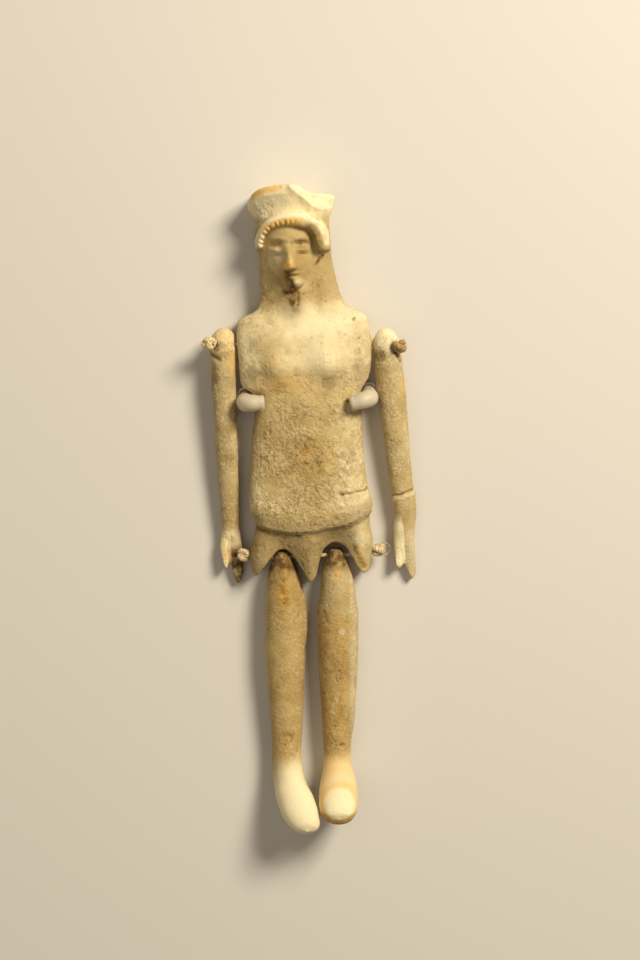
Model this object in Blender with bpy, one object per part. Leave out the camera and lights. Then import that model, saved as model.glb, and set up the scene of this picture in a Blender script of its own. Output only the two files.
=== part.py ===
"""Jointed clay doll of an old Greek kind, lying on its back, held by two padded display pins.

The moulded body (tall cap, head, tunic and three hip lugs), two arms and two legs are separate pieces of
fired clay. One string runs through both shoulders and one through both hips, with a knot at each end.
Frame: +X to the viewer's right, +Y towards the head, +Z out of the doll's front. The floor is Z = 0.
Each free form is drawn in millimetres on a doll DRAWN_HEIGHT tall, and is scaled to FIGURE_HEIGHT.
"""

import math

import bmesh
import bpy
import numpy as np
from mathutils import Matrix, Vector

# Driving sizes, in metres
FIGURE_HEIGHT = 0.165
STRING_DIAMETER = 0.0011
STRING_PLAY = 0.0005
KNOT_GRIP = 0.0007
TOUCH_GAP = 0.0003
PIN_WIRE_DIAMETER = 0.0016
PIN_FOOT_DIAMETER = 0.0044
PIN_FOOT_THICKNESS = 0.0008
SLEEVE_WALL = 0.0008
PIN_REACH = 0.0029
PIN_LEAN = 0.0015
PIN_TIP_DROP = {-1: 0.0, 1: 0.0011}
ELBOW_RADIUS = 0.0025

# The size that the free forms are drawn at, in millimetres, and their step to metres
DRAWN_HEIGHT = 165.0
MM = FIGURE_HEIGHT / DRAWN_HEIGHT

# Heights of what meets other pieces, drawn millimetres above the toes
SHOULDER_STRING_HEIGHT = 125.6
SHOULDER_STRING_DEPTH = 6.4
HIP_STRING_HEIGHT = 70.9
HIP_STRING_DEPTH = 5.3
PIN_HEIGHT = 110.8
OUTER_MOUTH = (2.1, 2.4)

# Fits worked out from the driving sizes
BORE_DIAMETER = STRING_DIAMETER + 2 * STRING_PLAY
KNOT_DIAMETER = BORE_DIAMETER + 2 * KNOT_GRIP
SLEEVE_BORE = PIN_WIRE_DIAMETER + 2 * TOUCH_GAP
SLEEVE_DIAMETER = SLEEVE_BORE + 2 * SLEEVE_WALL

# Triangles kept on each clay piece
BODY_TRIANGLES = 5100
ARM_TRIANGLES = 620
LEG_TRIANGLES = 680

CLAY_COLOUR = (0.60, 0.50, 0.30, 1.0)
STRING_COLOUR = (0.62, 0.54, 0.38, 1.0)
WIRE_COLOUR = (0.55, 0.54, 0.52, 1.0)
SLEEVE_COLOUR = (0.78, 0.72, 0.66, 1.0)


def smooth(at, places, values):
    """A curve through (place, value) pairs with no overshoot, from cubic pieces with harmonic mean slopes."""
    places, values = np.asarray(places, float), np.asarray(values, float)
    rise = np.diff(values) / np.diff(places)
    slope = np.concatenate([rise[:1], np.zeros(len(rise) - 1), rise[-1:]])
    climbing = rise[:-1] * rise[1:] > 0
    total = np.where(climbing, rise[:-1] + rise[1:], 1.0)
    slope[1:-1] = np.where(climbing, 2 * rise[:-1] * rise[1:] / total, 0.0)
    i = np.clip(np.searchsorted(places, at) - 1, 0, len(places) - 2)
    step = places[i + 1] - places[i]
    t = np.clip((at - places[i]) / step, 0, 1)
    back = 1 - t
    return (
        values[i] * back * back * (1 + 2 * t)
        + values[i + 1] * t * t * (3 - 2 * t)
        + step * t * back * (slope[i] * back - slope[i + 1] * t)
    )


def ramp(value, low, high):
    """0 below low, 1 above high, and an even S curve between them."""
    t = np.clip((value - low) / (high - low), 0, 1)
    return t * t * (3 - 2 * t)


def bump(distance, width):
    """A rounded rise of height 1 that has faded at about two widths."""
    return np.exp(-((distance / width) ** 2))


def blend_up(first, second, softness):
    """The higher of two surfaces, with their meeting rounded over softness."""
    share = np.clip(0.5 + (first - second) / (2 * softness), 0, 1)
    return second + (first - second) * share + softness * share * (1 - share)


def material(name, colour, roughness, metallic=0.0):
    made = bpy.data.materials.new(name)
    made.use_nodes = True
    shader = made.node_tree.nodes["Principled BSDF"]
    shader.inputs["Base Color"].default_value = colour
    shader.inputs["Roughness"].default_value = roughness
    shader.inputs["Metallic"].default_value = metallic
    made.diffuse_color = colour
    return made


def skin(name, rings, finish, ring_of_rings=False):
    """One closed solid from a stack of rings, in metres. An end ring may lie flat on a line or a point."""
    rings = np.asarray(rings, float)
    count, points = rings.shape[:2]
    shape = bmesh.new()
    corners = [shape.verts.new(corner) for corner in rings.reshape(-1, 3)]
    for i in range(count if ring_of_rings else count - 1):
        for j in range(points):
            here, beside = i * points + j, i * points + (j + 1) % points
            above = (i + 1) % count * points + j
            above_beside = (i + 1) % count * points + (j + 1) % points
            shape.faces.new([corners[here], corners[beside], corners[above_beside], corners[above]])
    bmesh.ops.remove_doubles(shape, verts=shape.verts, dist=1e-6)
    bmesh.ops.recalc_face_normals(shape, faces=shape.faces)
    mesh = bpy.data.meshes.new(name)
    shape.to_mesh(mesh)
    shape.free()
    mesh.materials.append(finish)
    mesh.shade_smooth()
    mesh.set_sharp_from_angle(angle=math.radians(40))
    made = bpy.data.objects.new(name, mesh)
    bpy.context.scene.collection.objects.link(made)
    return made


def thin_out(made, triangles):
    """Keeps about this many triangles, where the form needs them, and keeps the piece off the floor."""
    made.data.calc_loop_triangles()
    modifier = made.modifiers.new("Decimate", "DECIMATE")
    modifier.ratio = min(1.0, triangles / len(made.data.loop_triangles))
    graph = bpy.context.evaluated_depsgraph_get()
    kept = bpy.data.meshes.new_from_object(made.evaluated_get(graph))
    made.modifiers.clear()
    made.data = kept
    for corner in made.data.vertices:
        corner.co.z = max(corner.co.z, 0.0)


def rod_rings(route, radii, sides):
    """Round sections of the given radii along a route, each square to the route's direction there."""
    route = np.asarray(route, float)
    along = np.gradient(route, axis=0)
    along /= np.linalg.norm(along, axis=1, keepdims=True)
    reference = np.array([0.0, 1.0, 0.0])
    across = np.cross(along, reference)
    across /= np.linalg.norm(across, axis=1, keepdims=True)
    other = np.cross(across, along)
    turn = np.linspace(0, 2 * math.pi, sides, endpoint=False)
    radii = np.asarray(radii, float)[:, None, None]
    circle = across[:, None] * np.cos(turn)[None, :, None] + other[:, None] * np.sin(turn)[None, :, None]
    return route[:, None] + radii * circle


def cut_bore(piece, start, end, diameter):
    """Cuts a straight string hole from start to end, in metres, run on past both mouths."""
    start, end = Vector(start), Vector(end)
    run_on = (end - start).normalized() * diameter
    cutter_rings = rod_rings([start - run_on, end + run_on], [diameter / 2] * 2, 10)
    points = [np.repeat(ring.mean(axis=0)[None], 10, axis=0) for ring in cutter_rings]
    finish = piece.data.materials[0]
    cutter = skin(piece.name + "_bore_cutter", [points[0], *cutter_rings, points[1]], finish)
    cutter.hide_render = True
    cutter.display_type = "WIRE"
    modifier = piece.modifiers.new("String hole", "BOOLEAN")
    modifier.operation = "DIFFERENCE"
    modifier.object = cutter


# The body: outline, left and right edge at each height, drawn millimetres
BODY_OUTLINE = np.array([
    (68.2, -15.7, 14.6), (71.5, -15.8, 15.2), (74.6, -15.3, 15.5), (77.5, -14.6, 15.0),
    (79.2, -14.1, 14.8), (80.6, -14.4, 14.9), (82.4, -15.2, 15.6), (84.5, -15.6, 15.8),
    (87.6, -15.6, 15.0), (91.5, -15.2, 14.5), (97.4, -14.6, 14.0), (103.0, -14.0, 13.8),
    (108.3, -13.4, 13.8), (112.2, -13.5, 13.8), (113.4, -14.4, 14.3), (114.4, -15.9, 15.0),
    (116.0, -16.7, 15.9), (118.6, -16.8, 16.5), (123.4, -17.0, 16.8), (127.0, -17.2, 16.6),
    (130.0, -17.0, 16.3), (131.5, -16.6, 15.9), (132.4, -15.6, 14.8), (133.4, -13.0, 12.7),
    (134.4, -11.6, 11.1), (136.1, -11.1, 10.2), (138.7, -10.8, 9.2), (145.0, -10.7, 7.8),
    (148.1, -10.9, 7.5), (149.6, -11.4, 7.5), (152.0, -11.6, 7.5), (154.0, -11.4, 7.4),
    (156.2, -11.0, 7.5), (158.0, -11.8, 8.1), (159.6, -12.7, 8.6), (161.0, -13.0, 8.9),
])  # fmt: skip
# How far the front stands out on the middle line, how high the sides are, and how square the front is
BODY_DEPTH = np.array([
    (68.2, 9.8, 5.2, 0.50), (74.0, 11.2, 5.4, 0.50), (80.0, 12.3, 6.0, 0.55), (90.0, 12.9, 6.2, 0.60),
    (98.0, 12.7, 6.0, 0.65), (108.0, 12.0, 5.6, 0.70), (114.0, 12.0, 5.8, 0.65), (120.0, 12.4, 6.3, 0.60),
    (126.0, 12.0, 6.4, 0.60), (130.0, 11.2, 6.2, 0.62), (133.0, 10.2, 5.8, 0.75), (136.0, 9.9, 5.6, 0.85),
    (140.0, 10.2, 5.8, 0.90), (144.0, 10.8, 6.2, 0.90), (148.0, 11.5, 6.8, 0.95), (152.0, 12.5, 7.4, 1.00),
    (155.0, 13.1, 7.8, 1.00), (157.5, 13.5, 8.0, 1.00), (159.5, 15.2, 8.2, 1.00), (161.0, 16.9, 8.4, 1.00),
])  # fmt: skip
# The lower edge: three pointed lugs with an arch for each leg between them, and the worn top of the cap
LUG_EDGE = np.array([
    (-15.7, 67.7), (-14.8, 66.6), (-12.3, 68.8), (-10.2, 71.5), (-8.8, 72.8), (-7.4, 73.2), (-6.2, 72.7),
    (-4.9, 71.3), (-2.5, 67.2), (-0.8, 64.6), (0.6, 66.0), (1.8, 70.4), (3.2, 73.3), (5.8, 74.5),
    (8.4, 73.2), (10.1, 70.0), (11.8, 67.1), (13.0, 66.3), (14.6, 67.4),
])  # fmt: skip
CAP_EDGE = np.array([
    (-13.0, 160.9), (-11.6, 163.1), (-9.5, 164.3), (-6.5, 164.8), (-2.9, 165.0), (-0.5, 164.8),
    (1.4, 163.5), (4.0, 162.6), (7.4, 162.2), (8.9, 161.4),
])  # fmt: skip
CAP_BREAK = np.array([
    (-3.2, 166.0), (-2.0, 164.3), (-0.5, 162.6), (1.4, 161.3), (3.7, 159.3), (5.6, 158.6), (8.6, 159.0),
])  # fmt: skip
HEM_EDGE = np.array([(-15.0, 80.2), (-10.6, 78.2), (-4.0, 77.1), (4.6, 77.8), (11.1, 79.6), (15.0, 81.8)])
LUG_ZONE_TOP, CAP_ZONE_FOOT = 80.0, 157.0
EDGE_ROUND = 0.7

FACE_X, FACE_Y = -3.0, 145.9
FACE_WIDTH, FACE_HEIGHT = 6.7, 9.2
FACE_EDGE_DEPTH, FACE_DEPTH = 8.3, 15.0
NOSE_X = -3.5
EYE_APART = 3.1

FRINGE_X, FRINGE_Y, FRINGE_WIDTH, FRINGE_HEIGHT = -2.4, 148.9, 8.3, 7.6
FRINGE_THICK = np.array([(-1.0, 1.0), (-0.6, 1.35), (0.0, 1.7), (0.6, 1.8), (1.0, 1.9)])
FRINGE_END = 11.2
CURL_WIDTH, CURL_DEPTH = 1.15, 0.3


def face(x, y):
    """The face: a flattened egg with brow, eyes, a worn nose, lips and chin."""
    below = np.clip((FACE_Y - y) / FACE_HEIGHT, 0, 1)
    across = (x - FACE_X) / (FACE_WIDTH * (1 - 0.5 * below**2))
    inside = 1 - across**2 - np.abs((y - FACE_Y) / FACE_HEIGHT) ** 6
    full = np.maximum(inside, 0) ** 0.7
    egg = FACE_EDGE_DEPTH + (FACE_DEPTH - FACE_EDGE_DEPTH) * full + 14 * np.minimum(inside, 0)
    side = np.abs(x - NOSE_X)
    from_eye = side - EYE_APART
    brow_line = 150.9 - 0.06 * (from_eye + 0.3) ** 2
    brow = 0.45 * bump(y - brow_line, 0.75) * ramp(side, 5.6, 4.2)
    socket = -1.25 * bump(from_eye, 2.1) * bump(y - 149.2, 1.25) - 0.35 * bump(from_eye, 1.5) * bump(y - 147.3, 0.5)
    eye = 0.95 * bump(from_eye, 1.35) * bump(y - 148.6, 0.7)
    nose_rise = smooth(y, [143.4, 144.8, 150.5], [2.6, 2.9, 0.6])
    nose = nose_rise * ramp(y, 143.0, 143.8) * ramp(y, 151.2, 149.2) * bump(side, smooth(y, [143.4, 150], [1.3, 0.8]))
    lips = 0.5 * bump(side, 2.0) * (bump(y - 141.9, 0.5) + bump(y - 140.2, 0.6))
    below_lips = -0.55 * bump(side, 2.2) * bump(y - 139.0, 0.55)
    chin = 1.0 * bump(x + 3.0, 2.0) * bump(y - 138.0, 1.0)
    lump = 1.2 * bump(x + 1.0, 1.35) * bump(y - 140.6, 1.0)
    return egg + brow + socket + eye + nose + lips + below_lips + chin + lump


def fringe(x, y):
    """The rolled hair over the forehead: a round roll bent into a flattened arch, with curls below."""
    dx, dy = x - FRINGE_X, y - FRINGE_Y
    reach = np.sqrt(dx * dx + dy * dy) + 1e-9
    out = (np.abs(dx / FRINGE_WIDTH) ** 2.4 + np.abs(dy / FRINGE_HEIGHT) ** 2.4) ** (1 / 2.4) + 1e-9
    thick = smooth(np.clip(dx / FRINGE_WIDTH, -1, 1), FRINGE_THICK[:, 0], FRINGE_THICK[:, 1])
    along = np.arctan2(dx / FRINGE_WIDTH, dy / FRINGE_HEIGHT) * (FRINGE_WIDTH + FRINGE_HEIGHT) / 2
    off = (out - 1) * reach / out / thick
    past_end = np.maximum(np.abs(along) - FRINGE_END, 0) / thick
    from_core = np.sqrt(off * off + past_end * past_end)
    wrap = np.sqrt(np.maximum(1 - (dx / 10.2) ** 2, 0))
    roll = np.where(from_core < 1, np.sqrt(np.maximum(1 - from_core**2, 0)), -8.0 * (from_core - 1))
    worn = ramp(along, 4.5, -1.0)
    curls = np.abs(np.cos(math.pi * along / CURL_WIDTH)) * ramp(off, 0.2, -0.4) * worn
    return 7.2 + 7.6 * wrap + thick * roll + CURL_DEPTH * (curls - worn)


def off_line(x, y, start, end):
    """Distance of each place from a straight line between two places."""
    along_x, along_y = end[0] - start[0], end[1] - start[1]
    share = ((x - start[0]) * along_x + (y - start[1]) * along_y) / (along_x**2 + along_y**2)
    share = np.clip(share, 0, 1)
    return np.sqrt((x - start[0] - share * along_x) ** 2 + (y - start[1] - share * along_y) ** 2)


def body_front(x, y, height, inward):
    """Height of the body's front over its back. height is the row's own, inward 0 at the sides and 1 inside."""
    depth, side, square = (smooth(height, BODY_DEPTH[:, 0], BODY_DEPTH[:, k]) for k in (1, 2, 3))
    form = side + (depth - side) * inward**square
    neck = 1.5 * bump(x + 2.4, 3.4) * ramp(y, 130.5, 135.0) * ramp(y, 141.0, 138.0)
    creases = -0.5 * (bump(x + 7.4, 1.5) + bump(x - 3.2, 1.5)) * ramp(y, 131.0, 134.5) * ramp(y, 143.0, 139.0)
    form = form + (neck + creases) * inward
    on_head = ramp(y, 134.5, 136.5) * ramp(inward, 0.0, 0.3)
    form = form + on_head * (blend_up(face(x, y), form, 1.0) - form)
    form = form + ramp(inward, 0.0, 0.25) * (blend_up(fringe(x, y), form, 0.35) - form)
    form = form - 0.8 * bump(off_line(x, y, (5.4, 147.3), (3.3, 144.2)), 0.4)
    broken_above = smooth(x, CAP_BREAK[:, 0], CAP_BREAK[:, 1])
    cap_loss = -1.0 * np.clip(y - broken_above, 0, 4) * ramp(inward, 0.0, 0.4)
    low = np.where(y < 119.4, 3.4, 5.2)
    breasts = 2.3 * (bump(x + 7.0, 4.2) + bump(x - 5.4, 4.2)) * bump(y - 119.4, low)
    hem_line = smooth(x, HEM_EDGE[:, 0], HEM_EDGE[:, 1])
    hem = 1.3 * ramp(y, hem_line - 0.7, hem_line + 1.0) * ramp(y, hem_line + 12, hem_line + 3)
    folds = 0.5 * (bump(x + 13.0, 2.8) + bump(x + 0.9, 2.6) + bump(x - 12.2, 2.8)) - 0.3
    folds = folds * ramp(y, 78.0, 75.0)
    return form + cap_loss + (breasts + hem + folds) * ramp(inward, 0.0, 0.6)


def lug_arch(middle):
    """The walls of the leg arch around the given place at the hip string's height, and the arch's top."""
    across = np.linspace(LUG_EDGE[0, 0], LUG_EDGE[-1, 0], 601)
    edge = smooth(across, LUG_EDGE[:, 0], LUG_EDGE[:, 1])
    solid = across[edge < HIP_STRING_HEIGHT]
    left, right = solid[solid < middle].max(), solid[solid > middle].min()
    return left, right, edge[(across > left) & (across < right)].max()


def body_rings(heights, columns):
    """Rings round the body. Rows in the lug zone and on the cap are stretched to reach their edges."""
    t = np.linspace(-1, 1, columns + 1)
    u = (t + np.sin(t * math.pi / 2)) / 2
    inward = np.sqrt(np.maximum(1 - u * u, 0))[None, :]
    height = np.asarray(heights, float)[:, None]
    left, right = (smooth(height, BODY_OUTLINE[:, 0], BODY_OUTLINE[:, k]) for k in (1, 2))
    x = (left + right) / 2 + (right - left) / 2 * u[None, :]
    foot, top = heights[0], heights[-1]
    lug_reach = smooth(x[:1], LUG_EDGE[:, 0], LUG_EDGE[:, 1]) + EDGE_ROUND - foot
    cap_reach = smooth(x[-1:], CAP_EDGE[:, 0], CAP_EDGE[:, 1]) - EDGE_ROUND - top
    y = height + lug_reach * np.clip((LUG_ZONE_TOP - height) / (LUG_ZONE_TOP - foot), 0, 1)
    y = y + cap_reach * np.clip((height - CAP_ZONE_FOOT) / (top - CAP_ZONE_FOOT), 0, 1)
    side = smooth(height, BODY_DEPTH[:, 0], BODY_DEPTH[:, 2])
    front = body_front(x, y, height, inward)
    front[:, 0] = front[:, -1] = side[:, 0]
    back_bottom = 1.2 * ramp(height, LUG_ZONE_TOP, foot)
    back = np.maximum(side - (side - back_bottom + 0.6) * inward**0.35, back_bottom)
    sheets = close_ends(x, y, front, back, side)
    return np.stack([np.concatenate([rows, mirror[:, -2:0:-1]], axis=1) for rows, mirror in sheets], axis=2)


def close_ends(x, y, front, back, side):
    """Adds rows that round both end edges of the two sheets and close them along the middle plane."""
    middle = side + 0 * x
    down, up = [(0.3, 0.7), (1.0, 1.0)], [(1.0, 1.0), (0.3, 0.7)]

    def with_ends(sheet):
        first = [sheet[:1] + np.clip(middle[:1] - sheet[:1], -inset * EDGE_ROUND, inset * EDGE_ROUND) for inset, _ in up]
        last = [sheet[-1:] + np.clip(middle[-1:] - sheet[-1:], -inset * EDGE_ROUND, inset * EDGE_ROUND) for inset, _ in down]
        return np.concatenate([middle[:1], *first, sheet, *last, middle[-1:]])

    first_y = [y[:1] - drop * EDGE_ROUND for _, drop in up]
    last_y = [y[-1:] + drop * EDGE_ROUND for _, drop in down]
    tall = np.concatenate([first_y[0], *first_y, y, *last_y, last_y[-1]])
    wide = np.concatenate([np.repeat(x[:1], 3, axis=0), x, np.repeat(x[-1:], 3, axis=0)])
    return (wide, wide), (tall, tall), (with_ends(front), with_ends(back))


def body_edges(y):
    """The left and right edge of the torso at a height where its rows aren't stretched."""
    return tuple(float(smooth(y, BODY_OUTLINE[:, 0], BODY_OUTLINE[:, k])) for k in (1, 2))


def body_front_at(x, y):
    """The front surface over a place on the torso, where its rows aren't stretched."""
    left, right = body_edges(y)
    u = np.clip((2 * x - left - right) / (right - left), -1, 1)
    return float(body_front(np.float64(x), np.float64(y), np.float64(y), np.sqrt(1 - u * u)))


def make_body(clay):
    heights = np.concatenate([
        np.linspace(68.2, 86, 34, endpoint=False),
        np.linspace(86, 112, 20, endpoint=False),
        np.linspace(112, 117, 10, endpoint=False),
        np.linspace(117, 131, 16, endpoint=False),
        np.linspace(131, 161, 80),
    ])  # fmt: skip
    body = skin("moulded_body", body_rings(heights, 64) * MM, clay)
    thin_out(body, BODY_TRIANGLES)
    for y, z in ((SHOULDER_STRING_HEIGHT, SHOULDER_STRING_DEPTH), (HIP_STRING_HEIGHT, HIP_STRING_DEPTH)):
        cut_bore(body, *(Vector((x, y, z)) * MM for x in body_edges(y)), BORE_DIAMETER)


# An arm: outline about its string hole, half depth, thumb and finger ends, lean outwards and hole heights
RIGHT_ARM = {
    "outline": np.array([
        (-61.2, -0.4, 2.0), (-57.0, -2.6, 2.3), (-52.0, -3.3, 2.5), (-46.5, -2.6, 2.0), (-41.0, -2.7, 2.2),
        (-31.5, -3.0, 2.4), (-20.0, -3.1, 2.6), (-10.0, -3.3, 3.0), (-3.0, -3.2, 3.2), (0.5, -3.1, 2.9),
    ]),  # fmt: skip
    "ends": np.array([(-1.0, -56.3), (-0.75, -57.0), (-0.45, -55.6), (-0.2, -57.5), (0.4, -61.2), (1.0, -58.6)]),
    "top": 4.4, "top_middle": 0.5, "thumb_split": -0.38, "hole": (0.3, 0.3), "lean": 0.4,
}  # fmt: skip
LEFT_ARM = {
    "outline": np.array([
        (-59.8, -2.4, 2.2), (-55.0, -2.5, 2.4), (-51.0, -2.5, 2.6), (-46.5, -2.1, 3.1), (-42.5, -1.6, 3.7),
        (-37.8, -1.8, 3.9), (-34.3, -2.1, 3.5), (-26.5, -2.5, 3.6), (-16.0, -3.0, 3.8), (-8.9, -3.5, 3.8),
        (-3.5, -3.3, 3.5), (0.5, -3.2, 3.0),
    ]),  # fmt: skip
    "ends": np.array([(-1.0, -56.0), (-0.7, -56.3), (-0.35, -55.5), (0.0, -57.2), (0.6, -59.9), (1.0, -58.8)]),
    "top": 4.9, "top_middle": 0.0, "thumb_split": -0.3, "hole": (1.4, 0.2), "lean": 3.1,
}  # fmt: skip
ARM_DEPTH = np.array([(-61.2, 1.5), (-57.0, 2.0), (-50.0, 2.2), (-44.0, 2.4), (-30.0, 2.8), (-8.0, 3.2), (0.5, 3.1)])
HAND_TOP, HAND_FOOT, THUMB_RISE = -49.0, -57.5, 0.9


def arm_rings(arm, rows, columns):
    """Rings round an arm: a rounded shoulder end, a long taper, and a hand split into thumb and fingers."""
    dome_foot = 0.5
    turn = np.linspace(0, math.pi / 2, 7)[1:]
    rounding = dome_foot + (arm["top"] - dome_foot) * np.sin(turn)
    height = np.concatenate([np.linspace(HAND_FOOT, dome_foot, rows), rounding])[:, None]
    narrow = np.concatenate([np.ones(rows), np.cos(turn)])[:, None]
    t = np.linspace(-1, 1, columns + 1)
    u = ((t + np.sin(t * math.pi / 2)) / 2)[None, :]
    inward = np.sqrt(np.maximum(1 - u * u, 0))
    left, right = (smooth(height, arm["outline"][:, 0], arm["outline"][:, k]) for k in (1, 2))
    middle = (left + right) / 2 + (arm["top_middle"] - (left + right) / 2) * ramp(height, dome_foot, arm["top"])
    x = middle + (right - left) / 2 * u * narrow
    reach = smooth(u, arm["ends"][:, 0], arm["ends"][:, 1]) + EDGE_ROUND - HAND_FOOT
    in_hand = np.clip((HAND_TOP - height) / (HAND_TOP - HAND_FOOT), 0, 1)
    y = height + reach * in_hand**1.5
    thumb = 2 * ramp(u, arm["thumb_split"] + 0.12, arm["thumb_split"] - 0.12) - 0.8
    side = THUMB_RISE * thumb * in_hand
    half = smooth(height, ARM_DEPTH[:, 0], ARM_DEPTH[:, 1]) * narrow * (1 - 0.25 * in_hand)
    sheets = close_ends(x, y, side + half * inward**0.9, side - half * inward**0.9, side)
    return np.stack([np.concatenate([rows_, mirror[:, -2:0:-1]], axis=1) for rows_, mirror in sheets], axis=2)


def arm_frame(arm, outward, shank_outside):
    """Where an arm hangs: clear of the shoulder and of the pin's sleeve, with its hand down on the floor."""
    hole = SHOULDER_STRING_HEIGHT if outward < 0 else SHOULDER_STRING_HEIGHT - 1.0
    origin_y = hole - arm["hole"][0]
    lean = math.radians(arm["lean"])
    inner = 2 if outward < 0 else 1
    edge = {k: float(abs(smooth(k - origin_y, arm["outline"][:, 0], arm["outline"][:, inner]))) for k in (PIN_HEIGHT, hole)}
    body_edge = abs(body_edges(hole)[0 if outward < 0 else 1])
    at_pin = shank_outside + edge[PIN_HEIGHT] * MM - outward * math.sin(lean) * (hole - PIN_HEIGHT) * MM
    at_shoulder = body_edge * MM + edge[hole] * MM
    origin_x = outward * (max(at_pin, at_shoulder) + TOUCH_GAP)
    hand_down = 55.0
    drop = math.asin((SHOULDER_STRING_DEPTH - 2.3) / hand_down)
    place = Matrix.Translation((origin_x, origin_y * MM, SHOULDER_STRING_DEPTH * MM))
    return place @ Matrix.Rotation(lean, 4, "Z") @ Matrix.Rotation(drop, 4, "X")


def make_arm(name, arm, outward, clay, shank_outside):
    made = skin(name, arm_rings(arm, 30, 22) * MM, clay)
    frame = arm_frame(arm, outward, shank_outside)
    made.data.transform(frame)
    thin_out(made, ARM_TRIANGLES)
    inner, outer = (frame @ Vector((outward * x * MM, y * MM, 0)) for x, y in zip((-3.5, OUTER_MOUTH[0]), arm["hole"]))
    inner.z = SHOULDER_STRING_DEPTH * MM
    outer.z = inner.z + OUTER_MOUTH[1] * MM
    cut_bore(made, inner, outer, BORE_DIAMETER)
    outward_from_arm = Vector((outward * OUTER_MOUTH[0], 0, OUTER_MOUTH[1])).normalized()
    return [outer + outward_from_arm * TOUCH_GAP, outer, inner]


# A leg: sections from the hip down: height, middle x, middle z, half width, half depth, forward tilt
RIGHT_LEG = np.array([
    (1.9, 0.0, 5.3, 0.0, 0.0, 0), (1.65, 0.0, 5.3, 1.4, 2.1, 0), (1.0, 0.0, 5.3, 2.1, 3.2, 0),
    (-0.3, 0.0, 5.3, 2.6, 3.8, 0), (-2.3, 0.0, 5.2, 3.4, 4.1, 0), (-4.5, 0.0, 5.1, 4.0, 4.4, 0),
    (-7.2, 0.2, 5.0, 4.5, 4.7, 0), (-11.5, 0.5, 5.1, 5.2, 5.0, 0), (-17.0, 0.5, 5.1, 5.4, 5.0, 0),
    (-25.5, 0.3, 5.0, 5.15, 4.8, 0), (-36.0, 0.3, 4.7, 4.55, 4.5, 0), (-44.0, 0.4, 4.4, 4.0, 4.2, 0),
    (-50.5, 0.2, 4.3, 3.7, 4.0, 4), (-55.5, 0.5, 4.8, 3.9, 4.6, 16), (-59.2, 1.2, 6.4, 4.3, 5.2, 36),
    (-62.4, 2.4, 9.2, 4.8, 4.7, 47), (-65.0, 3.5, 12.1, 4.8, 3.9, 52), (-67.0, 4.5, 14.7, 4.1, 3.0, 55),
    (-68.2, 5.0, 16.2, 2.8, 1.9, 56), (-68.8, 5.2, 17.0, 0.0, 0.0, 56),
])  # fmt: skip
LEFT_LEG = np.array([
    (1.9, 0.0, 5.3, 0.0, 0.0, 0), (1.65, 0.0, 5.3, 1.4, 2.1, 0), (1.0, 0.0, 5.3, 2.1, 3.2, 0),
    (-0.3, 0.0, 5.3, 2.6, 3.8, 0), (-2.0, 0.1, 5.2, 3.1, 4.1, 0), (-5.0, 0.3, 5.1, 3.8, 4.4, 0),
    (-8.0, 0.5, 5.0, 4.35, 4.7, 0), (-11.5, 0.6, 5.1, 4.8, 5.0, 0), (-15.5, 0.5, 5.1, 5.3, 5.0, 0),
    (-22.6, 0.5, 5.0, 5.15, 4.9, 0), (-30.0, 0.5, 4.8, 4.9, 4.6, 0), (-37.5, 0.5, 4.6, 4.45, 4.4, 0),
    (-44.0, 0.4, 4.4, 4.1, 4.2, 0), (-49.5, 0.3, 4.2, 3.5, 3.9, 2), (-54.0, 0.3, 4.4, 3.6, 4.2, 12),
    (-57.6, 0.4, 5.6, 4.3, 5.0, 30), (-60.8, 0.4, 8.0, 4.9, 5.2, 52), (-62.8, 0.4, 11.2, 5.0, 4.5, 62),
    (-64.1, 0.4, 14.2, 4.7, 3.7, 66), (-65.0, 0.4, 16.4, 3.9, 2.9, 68), (-65.6, 0.4, 17.8, 2.5, 1.8, 70),
    (-65.9, 0.4, 18.4, 0.0, 0.0, 70),
])  # fmt: skip
LEG_LEAN = {"right_leg": -1.4, "left_leg": -1.9}


def leg_rings(sections, rows, sides):
    """Rings down a leg: ovals that tip forward through the ankle into the foot."""
    order = sections[::-1]
    reach = np.concatenate([[0], np.cumsum(np.linalg.norm(np.diff(order[:, :3], axis=0), axis=1) + 0.05)])
    along = smooth(np.linspace(0, 1, rows), np.linspace(0, 1, len(reach)), reach)
    y, x, z, wide, deep, tilt = (smooth(along, reach, order[:, k])[:, None] for k in range(6))
    tilt = np.radians(tilt)
    turn = np.linspace(0, 2 * math.pi, sides, endpoint=False)[None, :]
    up = deep * np.sin(turn)
    return np.stack([x + wide * np.cos(turn), y + up * np.sin(tilt), z + up * np.cos(tilt)], axis=2)


def make_leg(name, sections, arch_middle, clay):
    left, right, _ = lug_arch(arch_middle)
    made = skin(name, leg_rings(sections, 64, 28) * MM, clay)
    place = Matrix.Translation(((left + right) / 2 * MM, HIP_STRING_HEIGHT * MM, 0))
    frame = place @ Matrix.Rotation(math.radians(LEG_LEAN[name]), 4, "Z")
    made.data.transform(frame)
    thin_out(made, LEG_TRIANGLES)
    half = sections[:, 3].max() / 2
    ends = [Vector((x * MM, HIP_STRING_HEIGHT * MM, HIP_STRING_DEPTH * MM)) for x in
            ((left + right) / 2 - half, (left + right) / 2 + half)]  # fmt: skip
    cut_bore(made, *ends, BORE_DIAMETER)


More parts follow.
